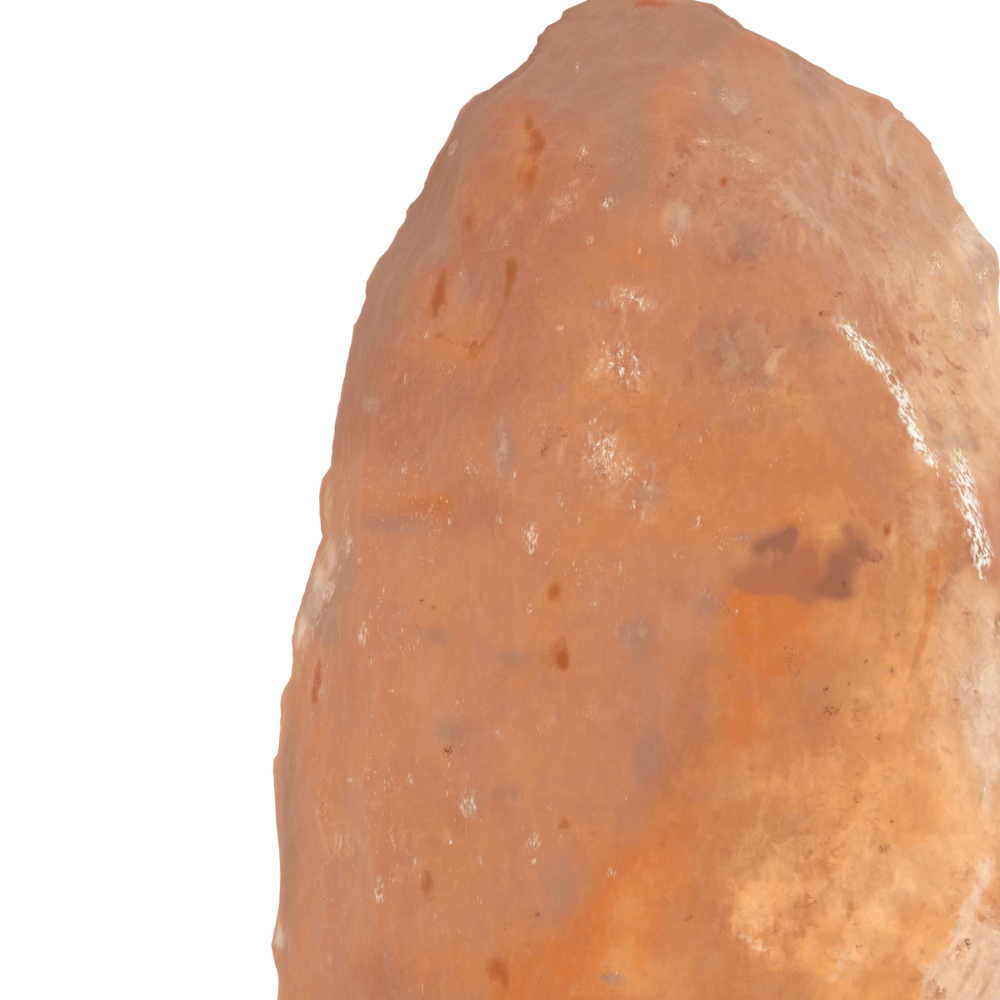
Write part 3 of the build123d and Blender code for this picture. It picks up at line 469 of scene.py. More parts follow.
        (733, 352, 44, 46, .7), (815, 335, 34, 22, .7), (610, 203, 13, 12, .9),
        (600, 304, 12, 11, .9), (655, 250, 16, 34, .3), (706, 605, 18, 16, .9),
        (642, 640, 24, 60, .4), (655, 700, 34, 90, .35), (650, 755, 16, 24, .8),
        (700, 715, 14, 24, .6), (640, 790, 14, 50, .5), (560, 890, 26, 44, .9),
        (510, 658, 24, 11, 1), (434, 636, 22, 12, .8), (449, 731, 22, 16, .9),
        (505, 795, 26, 12, .8), (632, 633, 18, 12, .8), (705, 945, 18, 50, .4),
        (612, 979, 14, 6, 1, 10), (818, 692, 34, 30, .5), (500, 435, 14, 34, .8),
        # the last two grey marks on the next line, beside the flake, are painted shade on its facet
        (378, 404, 20, 13, .7), (318, 612, 14, 40, 1.5, -28), (345, 575, 12, 30, 1, 10),
        (800, 60, 24, 12, .9, 40), (815, 85, 26, 16, 1, 20), (462, 145, 22, 34, 1, 24),
        (520, 60, 24, 30, .9, 30), (950, 443, 26, 12, .8), (648, 495, 20, 14, .8),
        (395, 525, 40, 12, .8), (520, 460, 20, 30, .5), (336, 420, 8, 60, 1.2, 8),
        (290, 780, 12, 120, .7), (288, 860, 12, 120, .6), (650, 460, 16, 24, .6),
        (560, 745, 24, 20, .4), (765, 385, 16, 10, .4), (812, 870, 26, 34, .3),
        (640, 20, 50, 20, .6), (430, 225, 40, 40, .6), (560, 140, 20, 60, .3),
        (605, 150, 26, 40, .6), (745, 110, 20, 30, .5), (730, 140, 20, 40, .3, 10),
        (480, 95, 30, 16, .8, -30), (480, 740, 40, 20, .3), (744, 537, 10, 6, 1.1),
        (765, 560, 10, 10, .5), (720, 20, 30, 14, .8), (585, 450, 10, 20, .3),
        (470, 285, 16, 20, .7), (345, 345, 8, 60, .8, 14), (905, 645, 8, 20, .5, 20),
        (868, 660, 10, 12, .5), (985, 290, 24, 50, .4), (890, 140, 8, 20, .6, 10)),
    "amber": (
        (935, 572, 3.5, 18, 1.3, 4), (930, 602, 4.5, 20, 1.5, 4), (924, 634, 4, 16, 1.2, 10),
        (913, 668, 4, 20, 1.1, 14), (905, 700, 5, 18, .8, 12), (851, 911, 5, 11, 1.3, 12),
        (762, 622, 30, 30, .4), (950, 552, 8, 8, .8), (958, 535, 5, 10, .6)),
    "tan": (
        (802, 133, 12, 5, 1), (868, 205, 24, 4, 1, 26), (812, 188, 22, 4, .9, 40),
        (845, 235, 26, 4, .8, 40), (905, 222, 10, 14, .8, 10), (925, 318, 12, 6, 1, -10),
        (940, 335, 10, 8, .8, 20), (912, 300, 16, 5, .8, -20), (960, 385, 6, 8, .8),
        (898, 355, 10, 8, .8, 30), (888, 320, 10, 6, .8), (930, 372, 14, 5, .7, 10),
        (896, 452, 5, 10, .9), (926, 520, 4, 16, 1, 4), (945, 300, 14, 5, .7, -30),
        (780, 872, 34, 9, 1.2, -6), (735, 790, 14, 34, 1, 8), (815, 828, 34, 8, 1, 12),
        (848, 842, 7, 18, .9, -30), (880, 848, 12, 8, .8, 30), (790, 830, 18, 6, .8, -30),
        (760, 860, 10, 20, .6, 30), (852, 660, 8, 22, .9, 14), (832, 640, 6, 20, .9, 16),
        (868, 600, 5, 30, 1, 12), (884, 640, 5, 24, 1, 14), (902, 610, 5, 26, .7, 10),
        (858, 700, 10, 12, .6), (905, 790, 16, 10, .6, 20), (930, 760, 10, 16, .6),
        (800, 897, 8, 28, 1.6), (883, 957, 16, 6, 1.2), (855, 870, 6, 20, .8, 20),
        (968, 975, 3, 30, 1, 30), (986, 985, 3, 26, 1, 30), (905, 895, 5, 26, .5, 10),
        (780, 850, 50, 10, .8, -10), (725, 790, 20, 30, .8), (775, 700, 30, 40, .3),
        (880, 745, 40, 40, 1), (800, 850, 20, 40, .8), (800, 905, 12, 26, 1),
        (870, 820, 26, 40, .8, -20), (840, 690, 40, 30, .8), (880, 620, 14, 50, .7, 14),
        (895, 560, 16, 40, .6, 10), (950, 600, 14, 30, .5, 10), (870, 940, 50, 12, .8, 10),
        (890, 975, 40, 14, .6), (760, 830, 40, 40, .7), (960, 720, 20, 30, .4),
        (790, 985, 60, 20, .7), (925, 840, 16, 30, .4, 20), (905, 470, 14, 26, .5)),
    # where small painted highlights, glints of broken salt, are strewn as points and short strokes
    "painted_glint_spread": (
        (340, 800, 50, 160, .6), (420, 900, 90, 70, .5), (440, 520, 90, 60, .5),
        (390, 470, 80, 120, .8), (360, 640, 60, 120, .6), (380, 840, 80, 90, .9),
        (500, 800, 60, 80, .5), (600, 430, 80, 120, .8), (640, 350, 70, 60, .6),
        (580, 180, 50, 60, .7), (510, 240, 40, 60, .5), (610, 580, 50, 60, .6),
        (950, 300, 50, 80, .8), (690, 480, 40, 60, .5), (470, 620, 60, 60, .5)),
    # dark and the rim round it: painted shadow, the bore's end seen through the salt
    "dark": (
        (760, 546, 15, 11, 1.1, -10), (776, 538, 12, 9, .9, -14), (764, 558, 12, 6, .6),
        (791, 536, 8, 11, 1.1, 10), (790, 550, 10, 7, .7), (773, 566, 16, 6, .4),
        (842, 560, 19, 13, 1), (838, 582, 18, 16, 1), (856, 543, 13, 12, .7, 30),
        (842, 595, 13, 6, .7), (846, 529, 8, 8, .5, 40), (812, 591, 12, 9, .5)),
    "painted_bore_shadow_rim": (
        (770, 573, 34, 17, 1, 4), (808, 572, 10, 28, 1.2), (820, 588, 22, 12, .8),
        (756, 583, 22, 9, .9), (785, 586, 24, 8, .7), (800, 560, 14, 12, .6),
        (803, 583, 8, 16, .8)),
    "red": (
        (529, 122, 5, 9, 1.6), (536, 134, 6, 8, 1.2, 30), (540, 145, 5, 8, 1.6),
        (532, 152, 8, 8, .9), (534, 172, 5, 18, .8, 8), (522, 182, 14, 24, .5),
        (442, 282, 5, 14, 1.3, 8), (438, 300, 6, 12, 1.4, 10), (434, 296, 14, 28, .5),
        (436, 318, 4, 9, .9, -20), (441, 336, 9, 4, 1.2, 20), (454, 342, 8, 4, 1),
        (474, 345, 12, 4, .8), (490, 334, 9, 4, .8, -35), (501, 316, 4, 10, .8, 24),
        (507, 294, 4, 12, .8, 4), (510, 270, 4, 9, .9, -10), (476, 352, 18, 14, .45),
        (507, 292, 6, 34, .7, 24), (512, 265, 8, 12, .8), (565, 246, 12, 6, .8, -30),
        (724, 182, 6, 6, 1.6), (616, 311, 7, 9, 1.1), (469, 224, 7, 12, 1.2, 10),
        (563, 661, 5, 8, 1.7), (560, 650, 12, 22, .5), (554, 590, 5, 9, 1.1),
        (560, 588, 14, 14, .5), (427, 882, 8, 18, 1.1), (562, 822, 8, 10, .9),
        (498, 968, 9, 13, 1.3, 20), (506, 985, 5, 10, .9), (528, 945, 6, 6, .7),
        (316, 684, 5, 24, 1.3, 8), (662, 844, 5, 9, 1.1, 30), (887, 530, 3.6, 7, 1.6),
        (852, 910, 4, 10, .9, 10), (401, 972, 5, 5, .8), (730, 676, 3.4, 4, 1.1),
        (652, 3, 16, 5, 1.3), (580, 950, 16, 26, .4), (544, 194, 6, 24, .5, 25),
        (428, 505, 26, 14, .6), (808, 575, 7, 24, .7), (495, 580, 34, 14, .2), (634, 860, 5, 6, .8),
        (455, 262, 5, 16, .6, 20), (722, 760, 4, 7, .8), (545, 660, 20, 12, .3),
        (590, 290, 12, 12, .4), (667, 187, 5, 5, .9), (955, 950, 4, 4, .5)),
    "crackle": (
        (1080, 480, 90, 180, .6), (1080, 860, 90, 120, .7), (900, 1060, 160, 50, .6),
        (735, 350, 50, 46, .8), (745, 235, 34, 30, .7), (770, 365, 30, 30, .6),
        (430, 300, 60, 60, .5), (620, 400, 60, 80, .5), (770, 560, 50, 30, .6),
        (840, 180, 80, 60, .8), (885, 240, 50, 40, .8), (912, 340, 54, 60, 1),
        (886, 300, 34, 28, .7), (790, 380, 60, 50, .6), (940, 415, 30, 30, .7),
        (895, 570, 40, 70, .7), (962, 690, 34, 70, .7), (825, 830, 90, 80, .8),
        (955, 925, 30, 40, .6), (745, 190, 60, 60, .6, 30), (880, 960, 80, 44, .7),
        (760, 910, 50, 50, .8), (840, 293, 10, 4, 1), (800, 215, 40, 24, .8, 20),
        (675, 175, 14, 12, .6), (880, 740, 50, 60, .6)),
    # lumps: cloudy lumps in the salt, painted lighter as if lit from within where the salt is thin
    "lumps": (
        (1100, 860, 90, 110, .7), (1070, 480, 50, 80, .4), (850, 1060, 160, 50, .6),
        (850, 840, 110, 100, .9), (780, 915, 60, 50, .7), (900, 700, 50, 60, .6),
        (880, 340, 60, 50, .5), (785, 385, 50, 34, .6), (930, 600, 40, 60, .5),
        (960, 960, 40, 40, .5), (760, 770, 40, 60, .2), (860, 950, 60, 44, .6)),
    "speck": (
        (421, 602, 5, 3, 1), (433, 608, 4, 3, 1), (448, 751, 6, 4, 1.5, -20),
        (832, 711, 11, 4, 1.4), (858, 797, 4, 8, 1.4), (877, 808, 4, 4, 1.2),
        (689, 917, 5, 3, 1.3, 20), (698, 921, 3, 3, 1.2), (679, 426, 3, 3, 1.5),
        (758, 121, 3, 3, 1.2), (770, 132, 4, 3, 1.2), (418, 627, 3, 3, 1), (843, 585, 5, 5, 1),
        (957, 702, 5, 6, .8), (537, 915, 3, 3, 1.2), (593, 833, 3, 3, 1), (840, 294, 11, 3, 1.1),
        (826, 314, 8, 3, 1.3), (543, 454, 6, 8, .8), (520, 380, 10, 3, .6), (672, 175, 6, 4, .7),
        (783, 217, 6, 4, .8), (840, 826, 10, 7, .8), (885, 848, 8, 8, .7, 20), (880, 739, 6, 5, .9),
        (960, 787, 4, 5, .7), (890, 823, 3, 3, 1.3), (967, 943, 5, 5, 1.4),
        (798, 905, 4, 8, .8, 20), (742, 855, 3, 3, .9), (827, 690, 4, 8, .9, 20),
        (892, 672, 5, 10, .8, -20), (898, 635, 4, 8, .7, 10), (858, 775, 5, 4, .8),
        (850, 682, 4, 3, .9), (865, 662, 3, 3, .8), (895, 185, 4, 10, .8, -10),
        (778, 347, 6, 3, .7, 20), (723, 150, 3, 5, 1, -20), (860, 945, 12, 4, .7),
        (856, 925, 10, 4, .6, -20), (812, 768, 5, 5, .6), (548, 440, 5, 8, .6),
        (980, 870, 3, 5, .5), (760, 905, 3, 10, .6, 30), (768, 912, 2, 12, .6),
        (896, 452, 4, 7, .7), (940, 600, 3, 4, .8)),
    # glint and spark: painted highlights, where broken crystal catches the light
    "glint": (
        (1030, 430, 6, 18, .7, 8), (1110, 610, 5, 14, .6), (1015, 590, 5, 18, .7),
        (592, 450, 14, 30, 1), (612, 462, 14, 36, 1.1), (645, 486, 14, 10, 1.1),
        (501, 450, 8, 30, .6), (615, 350, 26, 26, .9), (630, 368, 20, 14, 1),
        (640, 301, 24, 16, .9), (622, 295, 10, 10, .8), (645, 518, 16, 14, .8),
        (375, 803, 10, 5, .8), (342, 843, 22, 20, .7), (412, 838, 14, 10, .7),
        (415, 862, 10, 14, .8), (448, 838, 14, 8, .7), (371, 402, 11, 12, .6),
        (386, 420, 14, 7, .7, 20), (560, 206, 22, 11, 1.1, -28), (606, 160, 12, 7, .5),
        (515, 205, 10, 10, .6), (745, 155, 30, 12, .9, 32), (700, 141, 15, 3, 1, 4),
        (697, 94, 10, 3, .7), (830, 237, 14, 14, .7, -20), (957, 275, 10, 7, .7, 30),
        (998, 340, 4, 40, 1.1), (735, 112, 12, 14, .5), (552, 720, 12, 16, .5),
        (316, 590, 12, 30, .9, 12), (500, 735, 12, 10, .4), (970, 912, 3, 20, .6, -20),
        (385, 655, 16, 5, .5), (905, 410, 6, 14, 1.1, -20), (915, 432, 7, 14, 1.3, -20),
        (926, 452, 7, 13, 1.3, -20), (911, 452, 4, 10, 1, -20), (965, 446, 8, 9, .9),
        (945, 458, 3, 8, .9, -10), (954, 480, 7, 20, 1.4, -10), (964, 476, 5, 16, 1.1, -10),
        (970, 508, 8, 22, 1.4, -8), (977, 530, 5, 14, 1.4, -8), (964, 535, 3, 10, .9),
        (632, 385, 14, 12, .5), (590, 375, 10, 8, .6)),
    "spark": (
        (627, 470, 8, 16, 1), (513, 475, 3, 6, 1.2), (532, 536, 8, 16, 1.1), (534, 548, 3, 3, 1.2),
        (633, 505, 4, 4, 1.4), (698, 522, 5, 8, 1.2), (584, 563, 8, 3, .7), (363, 635, 6, 13, 1),
        (349, 545, 4, 14, .9, 8), (467, 800, 9, 16, .8), (470, 808, 8, 8, .5), (437, 857, 8, 3, .9),
        (395, 880, 8, 6, .7), (379, 890, 5, 13, 1.2), (533, 842, 8, 10, .9), (534, 861, 4, 3, 1.4),
        (612, 873, 8, 5, 1), (453, 148, 3, 8, 1.5, 26), (583, 152, 5, 9, .9, 30),
        (507, 243, 9, 9, .5), (607, 203, 9, 9, .9), (426, 334, 4, 4, 1.1), (704, 63, 5, 4, .8),
        (738, 303, 4, 3, .7), (676, 240, 6, 7, .9), (935, 263, 7, 13, 1.2, 10),
        (982, 275, 7, 12, 1, 20), (955, 312, 5, 18, 1.3), (960, 334, 3, 8, 1.1),
        (960, 225, 9, 16, .9, 10), (985, 368, 4, 8, 1), (943, 173, 5, 8, .8), (722, 95, 8, 12, .6),
        (737, 538, 6, 3, .9), (620, 620, 8, 8, .5), (595, 605, 4, 6, .9, -30),
        (549, 808, 3, 4, .9, -30), (618, 634, 2.5, 6, 1.1), (985, 790, 5, 16, .7),
        (322, 692, 6, 12, .6, 10), (990, 915, 8, 8, .7), (836, 320, 6, 6, .9), (856, 323, 4, 5, 1),
        (858, 346, 9, 11, 1.3, -30), (872, 360, 6, 6, 1.1, -40), (897, 388, 9, 8, .8, -40),
        (622, 568, 5, 9, .7), (325, 925, 8, 4, .6), (345, 905, 6, 10, .4), (340, 740, 8, 6, .4),
        (577, 68, 2.5, 5, 1.2), (540, 730, 3, 8, .8), (328, 592, 5, 10, 1.6, 20),
        (404, 470, 4, 5, 1), (450, 520, 3, 8, 1), (480, 575, 6, 3, .9), (530, 610, 3, 8, .9),
        (360, 560, 3, 6, .9), (430, 560, 4, 4, .8), (500, 520, 6, 4, .9, 20), (560, 500, 3, 9, 1),
        (580, 520, 3, 6, 1), (470, 470, 3, 6, .8), (350, 780, 5, 4, .8), (480, 860, 4, 6, .9),
        (520, 880, 5, 3, .7), (560, 840, 3, 5, .8), (330, 960, 4, 5, .7), (460, 930, 5, 4, .7, 20),
        (590, 780, 3, 6, .7), (410, 780, 4, 8, .8), (390, 690, 5, 3, .7), (680, 390, 4, 4, .7),
        (560, 330, 4, 7, .8), (540, 280, 4, 5, .8), (700, 440, 3, 7, .8), (590, 240, 5, 5, .8),
        (640, 250, 4, 6, .8), (480, 330, 4, 3, .8), (405, 380, 4, 6, .8)),
    "wisp": (
        (886, 124, 5, 9, 1.7, 24), (883, 140, 4, 9, 1.5), (889, 158, 4, 12, 1.6, -10),
        (896, 116, 5, 3, 1), (682, 218, 11, 26, 1, 18), (783, 190, 44, 9, .7, 40),
        (812, 222, 30, 8, .8, 44), (735, 105, 14, 22, .9), (612, 203, 14, 12, .8),
        (571, 184, 16, 6, .8, -15), (600, 304, 12, 10, .8), (650, 300, 14, 10, .6, 30),
        (470, 806, 9, 14, 1.1, -15), (508, 800, 18, 6, .8, 10), (330, 560, 8, 40, .8, 10),
        (640, 628, 16, 12, .7), (500, 440, 9, 34, .7), (745, 538, 9, 5, .8),
        (805, 65, 10, 16, .6, 30), (835, 95, 22, 9, .6, 30), (952, 440, 20, 12, .9),
        (372, 402, 10, 12, .5), (655, 465, 12, 24, .6), (512, 485, 12, 14, .7),
        (840, 175, 40, 4, .6, 20), (870, 190, 30, 4, .5, 30), (610, 100, 8, 30, .3)),
}

# The boulder's outline in the photograph, as (row, column).
LEFT_EDGE = (
    (0, 582), (8, 560), (20, 550), (25, 542), (40, 530), (50, 527), (60, 521), (70, 512), (78, 500),
    (86, 488), (95, 472), (103, 462), (122, 451), (140, 444), (152, 436), (165, 428), (180, 424),
    (190, 419), (199, 415), (203, 408), (212, 404), (224, 400), (235, 393), (248, 387), (256, 380),
    (260, 376), (272, 370), (282, 365), (300, 363), (312, 360), (324, 353), (345, 350), (362, 346),
    (380, 343), (400, 339), (425, 334), (450, 331), (466, 330), (473, 326), (480, 321), (495, 318),
    (515, 319), (530, 320), (538, 322), (550, 316), (570, 310), (590, 304), (602, 300), (618, 295),
    (640, 291), (665, 292), (678, 290), (690, 283), (697, 280), (720, 280), (745, 279), (755, 277),
    (760, 273), (775, 273), (800, 275), (825, 276), (850, 279), (875, 280), (905, 279), (925, 275),
    (945, 271), (958, 273), (970, 276), (978, 279), (1000, 277))
RIGHT_EDGE = (
    (0, 700), (2, 722), (10, 732), (25, 750), (40, 772), (50, 798), (62, 815), (75, 832), (77, 843),
    (85, 860), (93, 878), (101, 898), (115, 911), (128, 920), (141, 932), (160, 942), (178, 950),
    (198, 958), (215, 970), (235, 984), (246, 995), (258, 1002), (300, 1020))


def fit_edge(points, normals, edge, side, last):
    """Moves the boulder's left (-1) or right (1) side to the outline that the photograph shows."""
    column, row = in_picture(points)
    spacing, furthest = 4.0, 16.0
    rows = np.arange(0.0, PICTURE + 80.0, spacing)
    bins = np.clip((row / spacing + 0.5).astype(int), 0, len(rows) - 1)
    order = np.argsort(side * column)
    reach, depth = np.full(len(rows), -1e4), np.zeros(len(rows))
    reach[bins[order]] = side * column[order]
    depth[bins[order]] = points[order, 1]
    wide = np.pad(reach, 1, mode="edge")
    reach = np.maximum(reach, np.maximum(wide[:-2], wide[2:]))
    target = side * np.interp(rows, [r for r, _ in edge], [c for _, c in edge])
    gap = np.clip(target - reach, -furthest, furthest) * step(last + 60.0, last, rows)
    broad = np.convolve(np.pad(gap, 6, mode="edge"), np.ones(13) / 13.0, mode="valid")
    near = np.exp(-(((points[:, 1] - np.interp(row, rows, depth)) / 10.0) ** 2))
    shift = np.interp(row, rows, broad) + np.interp(row, rows, gap - broad) * near
    weight = step(0.10, 0.55, side * normals[:, 0]) * step(-40.0, 5.0, row)
    moved = points.copy()
    moved[:, 0] += side * shift * weight * SEEN / MM / PICTURE
    return moved


def finer_front(mesh):
    """Halves the size of the faces that the photograph shows: outside the bore, and not behind."""
    work = bmesh.new()
    work.from_mesh(mesh)
    work.faces.ensure_lookup_table()
    chosen = set()
    for face in work.faces:
        x, y, z = face.calc_center_median() / MM
        outside = z > BORE_TOP + 4.0 or x * x + y * y > 700.0
        if outside and z > PICTURE_FOOT and x < 42.0 and y < 12.0 and face.normal.y < 0.25:
            chosen.update(face.edges)
    bmesh.ops.subdivide_edges(work, edges=list(chosen), cuts=1, use_grid_fill=True)
    work.to_mesh(mesh)
    work.free()
    mesh.update()


def keep(mesh, name, values):
    """Stores one number for each point, which the material reads by name."""
    mesh.attributes.new(name, "FLOAT", "POINT").data.foreach_set("value", values.astype(np.float32))


def make_rock():
    rock = remeshed(nodes["salt_crystal"], "hewn_salt", VOXEL * MM)
    mesh = rock.data
    finer_front(mesh)
    points = read_points(mesh) / MM
    across = np.hypot(points[:, 0], points[:, 1])
    bored = (across < AXIS_RADIUS) & (points[:, 2] < BORE_TOP)
    plugged = np.zeros(len(points), dtype=bool)
    for bearing in PLUG_BEARINGS:
        px = PLUG_RING * math.cos(math.radians(bearing))
        py = PLUG_RING * math.sin(math.radians(bearing))
        gap = np.hypot(points[:, 0] - px, points[:, 1] - py)
        plugged |= (gap < PLUG_RADIUS) & (points[:, 2] < PLUG_TOP)
    loose = np.where(bored | plugged, 0.0, 1.0) * step(SAWN + 0.3, SAWN + 3.0, points[:, 2])
    points = smoothed(mesh, points, loose, 7)
    write_points(mesh, points * MM)
    normals = read_normals(mesh)
    facing = normals @ np.array(back)
    front = step(-0.12, 0.22, facing) * np.where(bored, 0.0, 1.0)
    brim = np.exp(-(((facing - 0.20) / 0.22) ** 2))
    relief = rock_relief(points, normals, front) * loose * (1.0 - 0.5 * brim)
    points = points + normals * relief[:, None]
    points = fit_edge(points, normals, LEFT_EDGE, -1.0, 1000.0)
    points = fit_edge(points, normals, RIGHT_EDGE, 1.0, 245.0)
    sawn = (points[:, 2] < SAWN + 0.5) & ~bored & ~plugged
    points[sawn, 2] = SAWN
    points[:, 2] = np.maximum(points[:, 2], SAWN)
    write_points(mesh, points * MM)
    mesh.polygons.foreach_set("use_smooth", [True] * len(mesh.polygons))

    # What is known of the front fades out past the picture's edge and round the sides.
    column, row = in_picture(points)
    known = front * step(1200.0, 1030.0, row) * step(1270.0, 1090.0, column)
    keep(mesh, "known", known)
    keep(mesh, "brim", brim)
    for name, spots in MARKS.items():
        keep(mesh, name, patches(spots, column, row) * known)
    for name, line in (("ridge", RIDGE), ("foot", RIDGE_FOOT), ("flake", FLAKE)):
        gap = np.clip(side_of(line, column, row), -LINE_REACH, LINE_REACH)
        keep(mesh, name, np.where(front > 0.01, gap, LINE_REACH))
    return rock


rock = make_rock()


# ------------------------------------------------------------------ boulder: material
SHEEN = 0.022  # what the gloss adds to a colour, as linear light


def bare(red, green, blue):
    """A colour as it looks with the boulder's gloss on it, as the linear colour under the gloss."""
    return tuple(max(shade - SHEEN, 0.004) for shade in srgb(red, green, blue))


def rock_material():
    net = Net("rock_salt")
    place = net.in_mm()
    x, y, z = net.axes(place)

    def mark(name):
        return net.node("ShaderNodeAttribute", attribute_name=name).outputs["Fac"]

    def times(*values):
        product = values[0]
        for value in values[1:]:
            product = net.math("MULTIPLY", product, value)
        return product

    def plus(*values):
        total = values[0]
        for value in values[1:]:
            total = net.math("ADD", total, value)
        return total

    def most(a, b):
        return net.math("MAXIMUM", a, b)

    def least(a, b):
        return net.math("MINIMUM", a, b)

    def swing(value, reach):
        return times(net.math("SUBTRACT", value, 0.5), reach)

    def moved(vector, by, *reach):
        return net.vec("ADD", vector, net.scaled(by, reach))

    def shaken(scale, reach):
        """A vector that wanders with the place, and the place moved along it."""
        vector = net.vec("SUBTRACT", net.noise_color(place, scale, 3.0), (0.5, 0.5, 0.5))
        return vector, moved(place, vector, reach, reach, reach)

    # noises that all layers share, from broad to fine
    _, swayed = shaken(0.06, 14.0)
    ripple, rippled = shaken(0.45, 2.6)
    broad = net.noise(place, 0.022, 3.0, 0.5)
    cloud = net.noise(swayed, 0.070, 5.0, 0.56)
    other = net.noise(net.vec("ADD", swayed, (31.0, 17.0, 5.0)), 0.095, 5.0, 0.56)
    tuft = net.noise(rippled, 0.16, 3.0, 0.5)
    mottle = net.noise(rippled, 0.30, 5.0, 0.60)
    puff = net.noise(rippled, 0.45, 2.0, 0.5)
    fine = net.noise(place, 1.5, 4.0, 0.6)
    streak = net.noise(net.scaled(rippled, (1.0, 1.0, 0.16)), 0.46, 4.0, 0.6)
    thread = net.noise(net.scaled(rippled, (1.0, 1.0, 0.12)), 1.7, 3.0, 0.6)
    across, _, up = net.axes(rippled)
    slanted = net.node("ShaderNodeCombineXYZ", {
        0: net.math("SUBTRACT", across, times(up, 0.30)), 1: y, 2: times(up, 0.24),
    }).outputs[0]
    leaf = net.noise(slanted, 0.42, 3.0, 0.5)
    small_leaf = net.noise(slanted, 1.15, 2.0, 0.5)

    known = mark("known")
    unknown = net.math("SUBTRACT", 1.0, known)
    brim = mark("brim")
    open_face = net.math("SUBTRACT", 1.0, times(brim, 0.85))
    crisp = least(plus(mark("crackle"), times(unknown, 0.45), 0.34), 1.1)
    crackle = least(plus(mark("crackle"), 0.05, times(unknown, 0.25)), 1.0)

    # crystal grains, each a little different from the next, with sharp edges where the salt is hewn
    torn = net.scaled(moved(place, ripple, 5.0, 5.0, 7.0), (1.0, 1.0, 0.62))
    grain = net.axes(net.cells(torn, 0.26, output="Color"))[0]
    small_grain = net.axes(net.cells(torn, 0.75, output="Color"))[1]
    ragged = plus(
        swing(mottle, 0.7), swing(tuft, 0.7),
        times(plus(swing(grain, 0.42), swing(small_grain, 0.20)), crisp),
    )

    # body colour: pinkish tan
    color = net.mix(net.ramp(plus(times(cloud, 0.7), times(mottle, 0.3)), 0.34, 0.66),
                    bare(200, 132, 97), bare(210, 140, 95))

    def tint(amount, *shade):
        """Mixes a colour into the boulder's."""
        nonlocal color
        color = net.mix(amount, color, bare(*shade))

    def layer(value, low, high, share, shade, *weights):
        """Mixes a colour in where a value is nearer to high than to low."""
        tint(times(net.ramp(value, low, high), share, *weights), *shade)

    def zone(name, drift, spread, low, high, elsewhere, share, shade):
        """A kind of patch, placed by its marks and ragged, and broad patches of it elsewhere."""
        value = plus(mark(name), swing(drift, spread), ragged)
        if elsewhere:
            start = (len(name) * 40.0, 7.0, ord(name[0]))  # a place of its own for each kind
            own = net.noise(net.vec("ADD", swayed, start), 0.034, 3.0, 0.5)
            value = plus(value, times(unknown, plus(swing(own, 3.4), elsewhere)))
        layer(value, low, high, share, shade)

    # soft clouds of orange, yellow, cream and grey in the body; the yellow, cream and pale clouds
    # are in large part painted light, the glow of the bulb and of the light from behind through
    # thin salt
    zone("dusk", cloud, 0.7, 0.15, 1.2, 0.35, 0.85, (182, 113, 82))
    zone("orange", other, 0.9, 0.15, 1.2, 0.50, 0.80, (212, 131, 77))
    zone("fire", cloud, 0.6, 0.15, 1.25, 0.05, 0.90, (219, 124, 56))
    zone("yellow", other, 0.7, 0.15, 1.15, 0.18, 0.85, (236, 166, 98))
    zone("cream", cloud, 0.6, 0.15, 1.25, 0.25, 0.85, (240, 194, 150))
    zone("pale", other, 0.5, 0.2, 1.1, 0.0, 0.92, (246, 223, 198))
    zone("beige", cloud, 0.6, 0.15, 1.2, 0.2, 0.8, (206, 152, 121))
    zone("amber", cloud, 0.2, 0.35, 1.0, 0.0, 0.85, (220, 126, 56))
    zone("tan", other, 0.6, 0.2, 1.1, 0.0, 0.55, (202, 134, 84))
    layer(tuft, 0.52, 0.72, 0.24, (220, 142, 88), open_face)
    layer(tuft, 0.48, 0.28, 0.26, (188, 132, 108), open_face)
    layer(puff, 0.54, 0.66, 0.16, (224, 152, 104), open_face)
    layer(puff, 0.46, 0.34, 0.16, (190, 124, 94), open_face)
    zone("grey", other, 0.7, 0.18, 1.1, 0.25, 0.75, (176, 129, 110))

    # streaks down the boulder, small clouds and grains
    layer(streak, 0.50, 0.74, 0.17, (222, 164, 130), open_face)
    layer(streak, 0.48, 0.28, 0.15, (190, 114, 72), open_face)
    layer(thread, 0.54, 0.72, 0.13, (230, 176, 140), open_face)
    layer(thread, 0.46, 0.30, 0.09, (188, 116, 78), open_face)
    layer(mottle, 0.54, 0.70, 0.14, (226, 168, 128), open_face)
    layer(mottle, 0.46, 0.32, 0.13, (186, 112, 74), open_face)
    layer(grain, 0.62, 1.0, 0.18, (230, 174, 128), crisp, open_face)
    layer(grain, 0.38, 0.0, 0.20, (184, 116, 82), crisp, open_face)
    layer(small_grain, 0.6, 1.0, 0.14, (232, 178, 136), crisp)
    layer(small_grain, 0.4, 0.0, 0.14, (182, 114, 80), crisp)

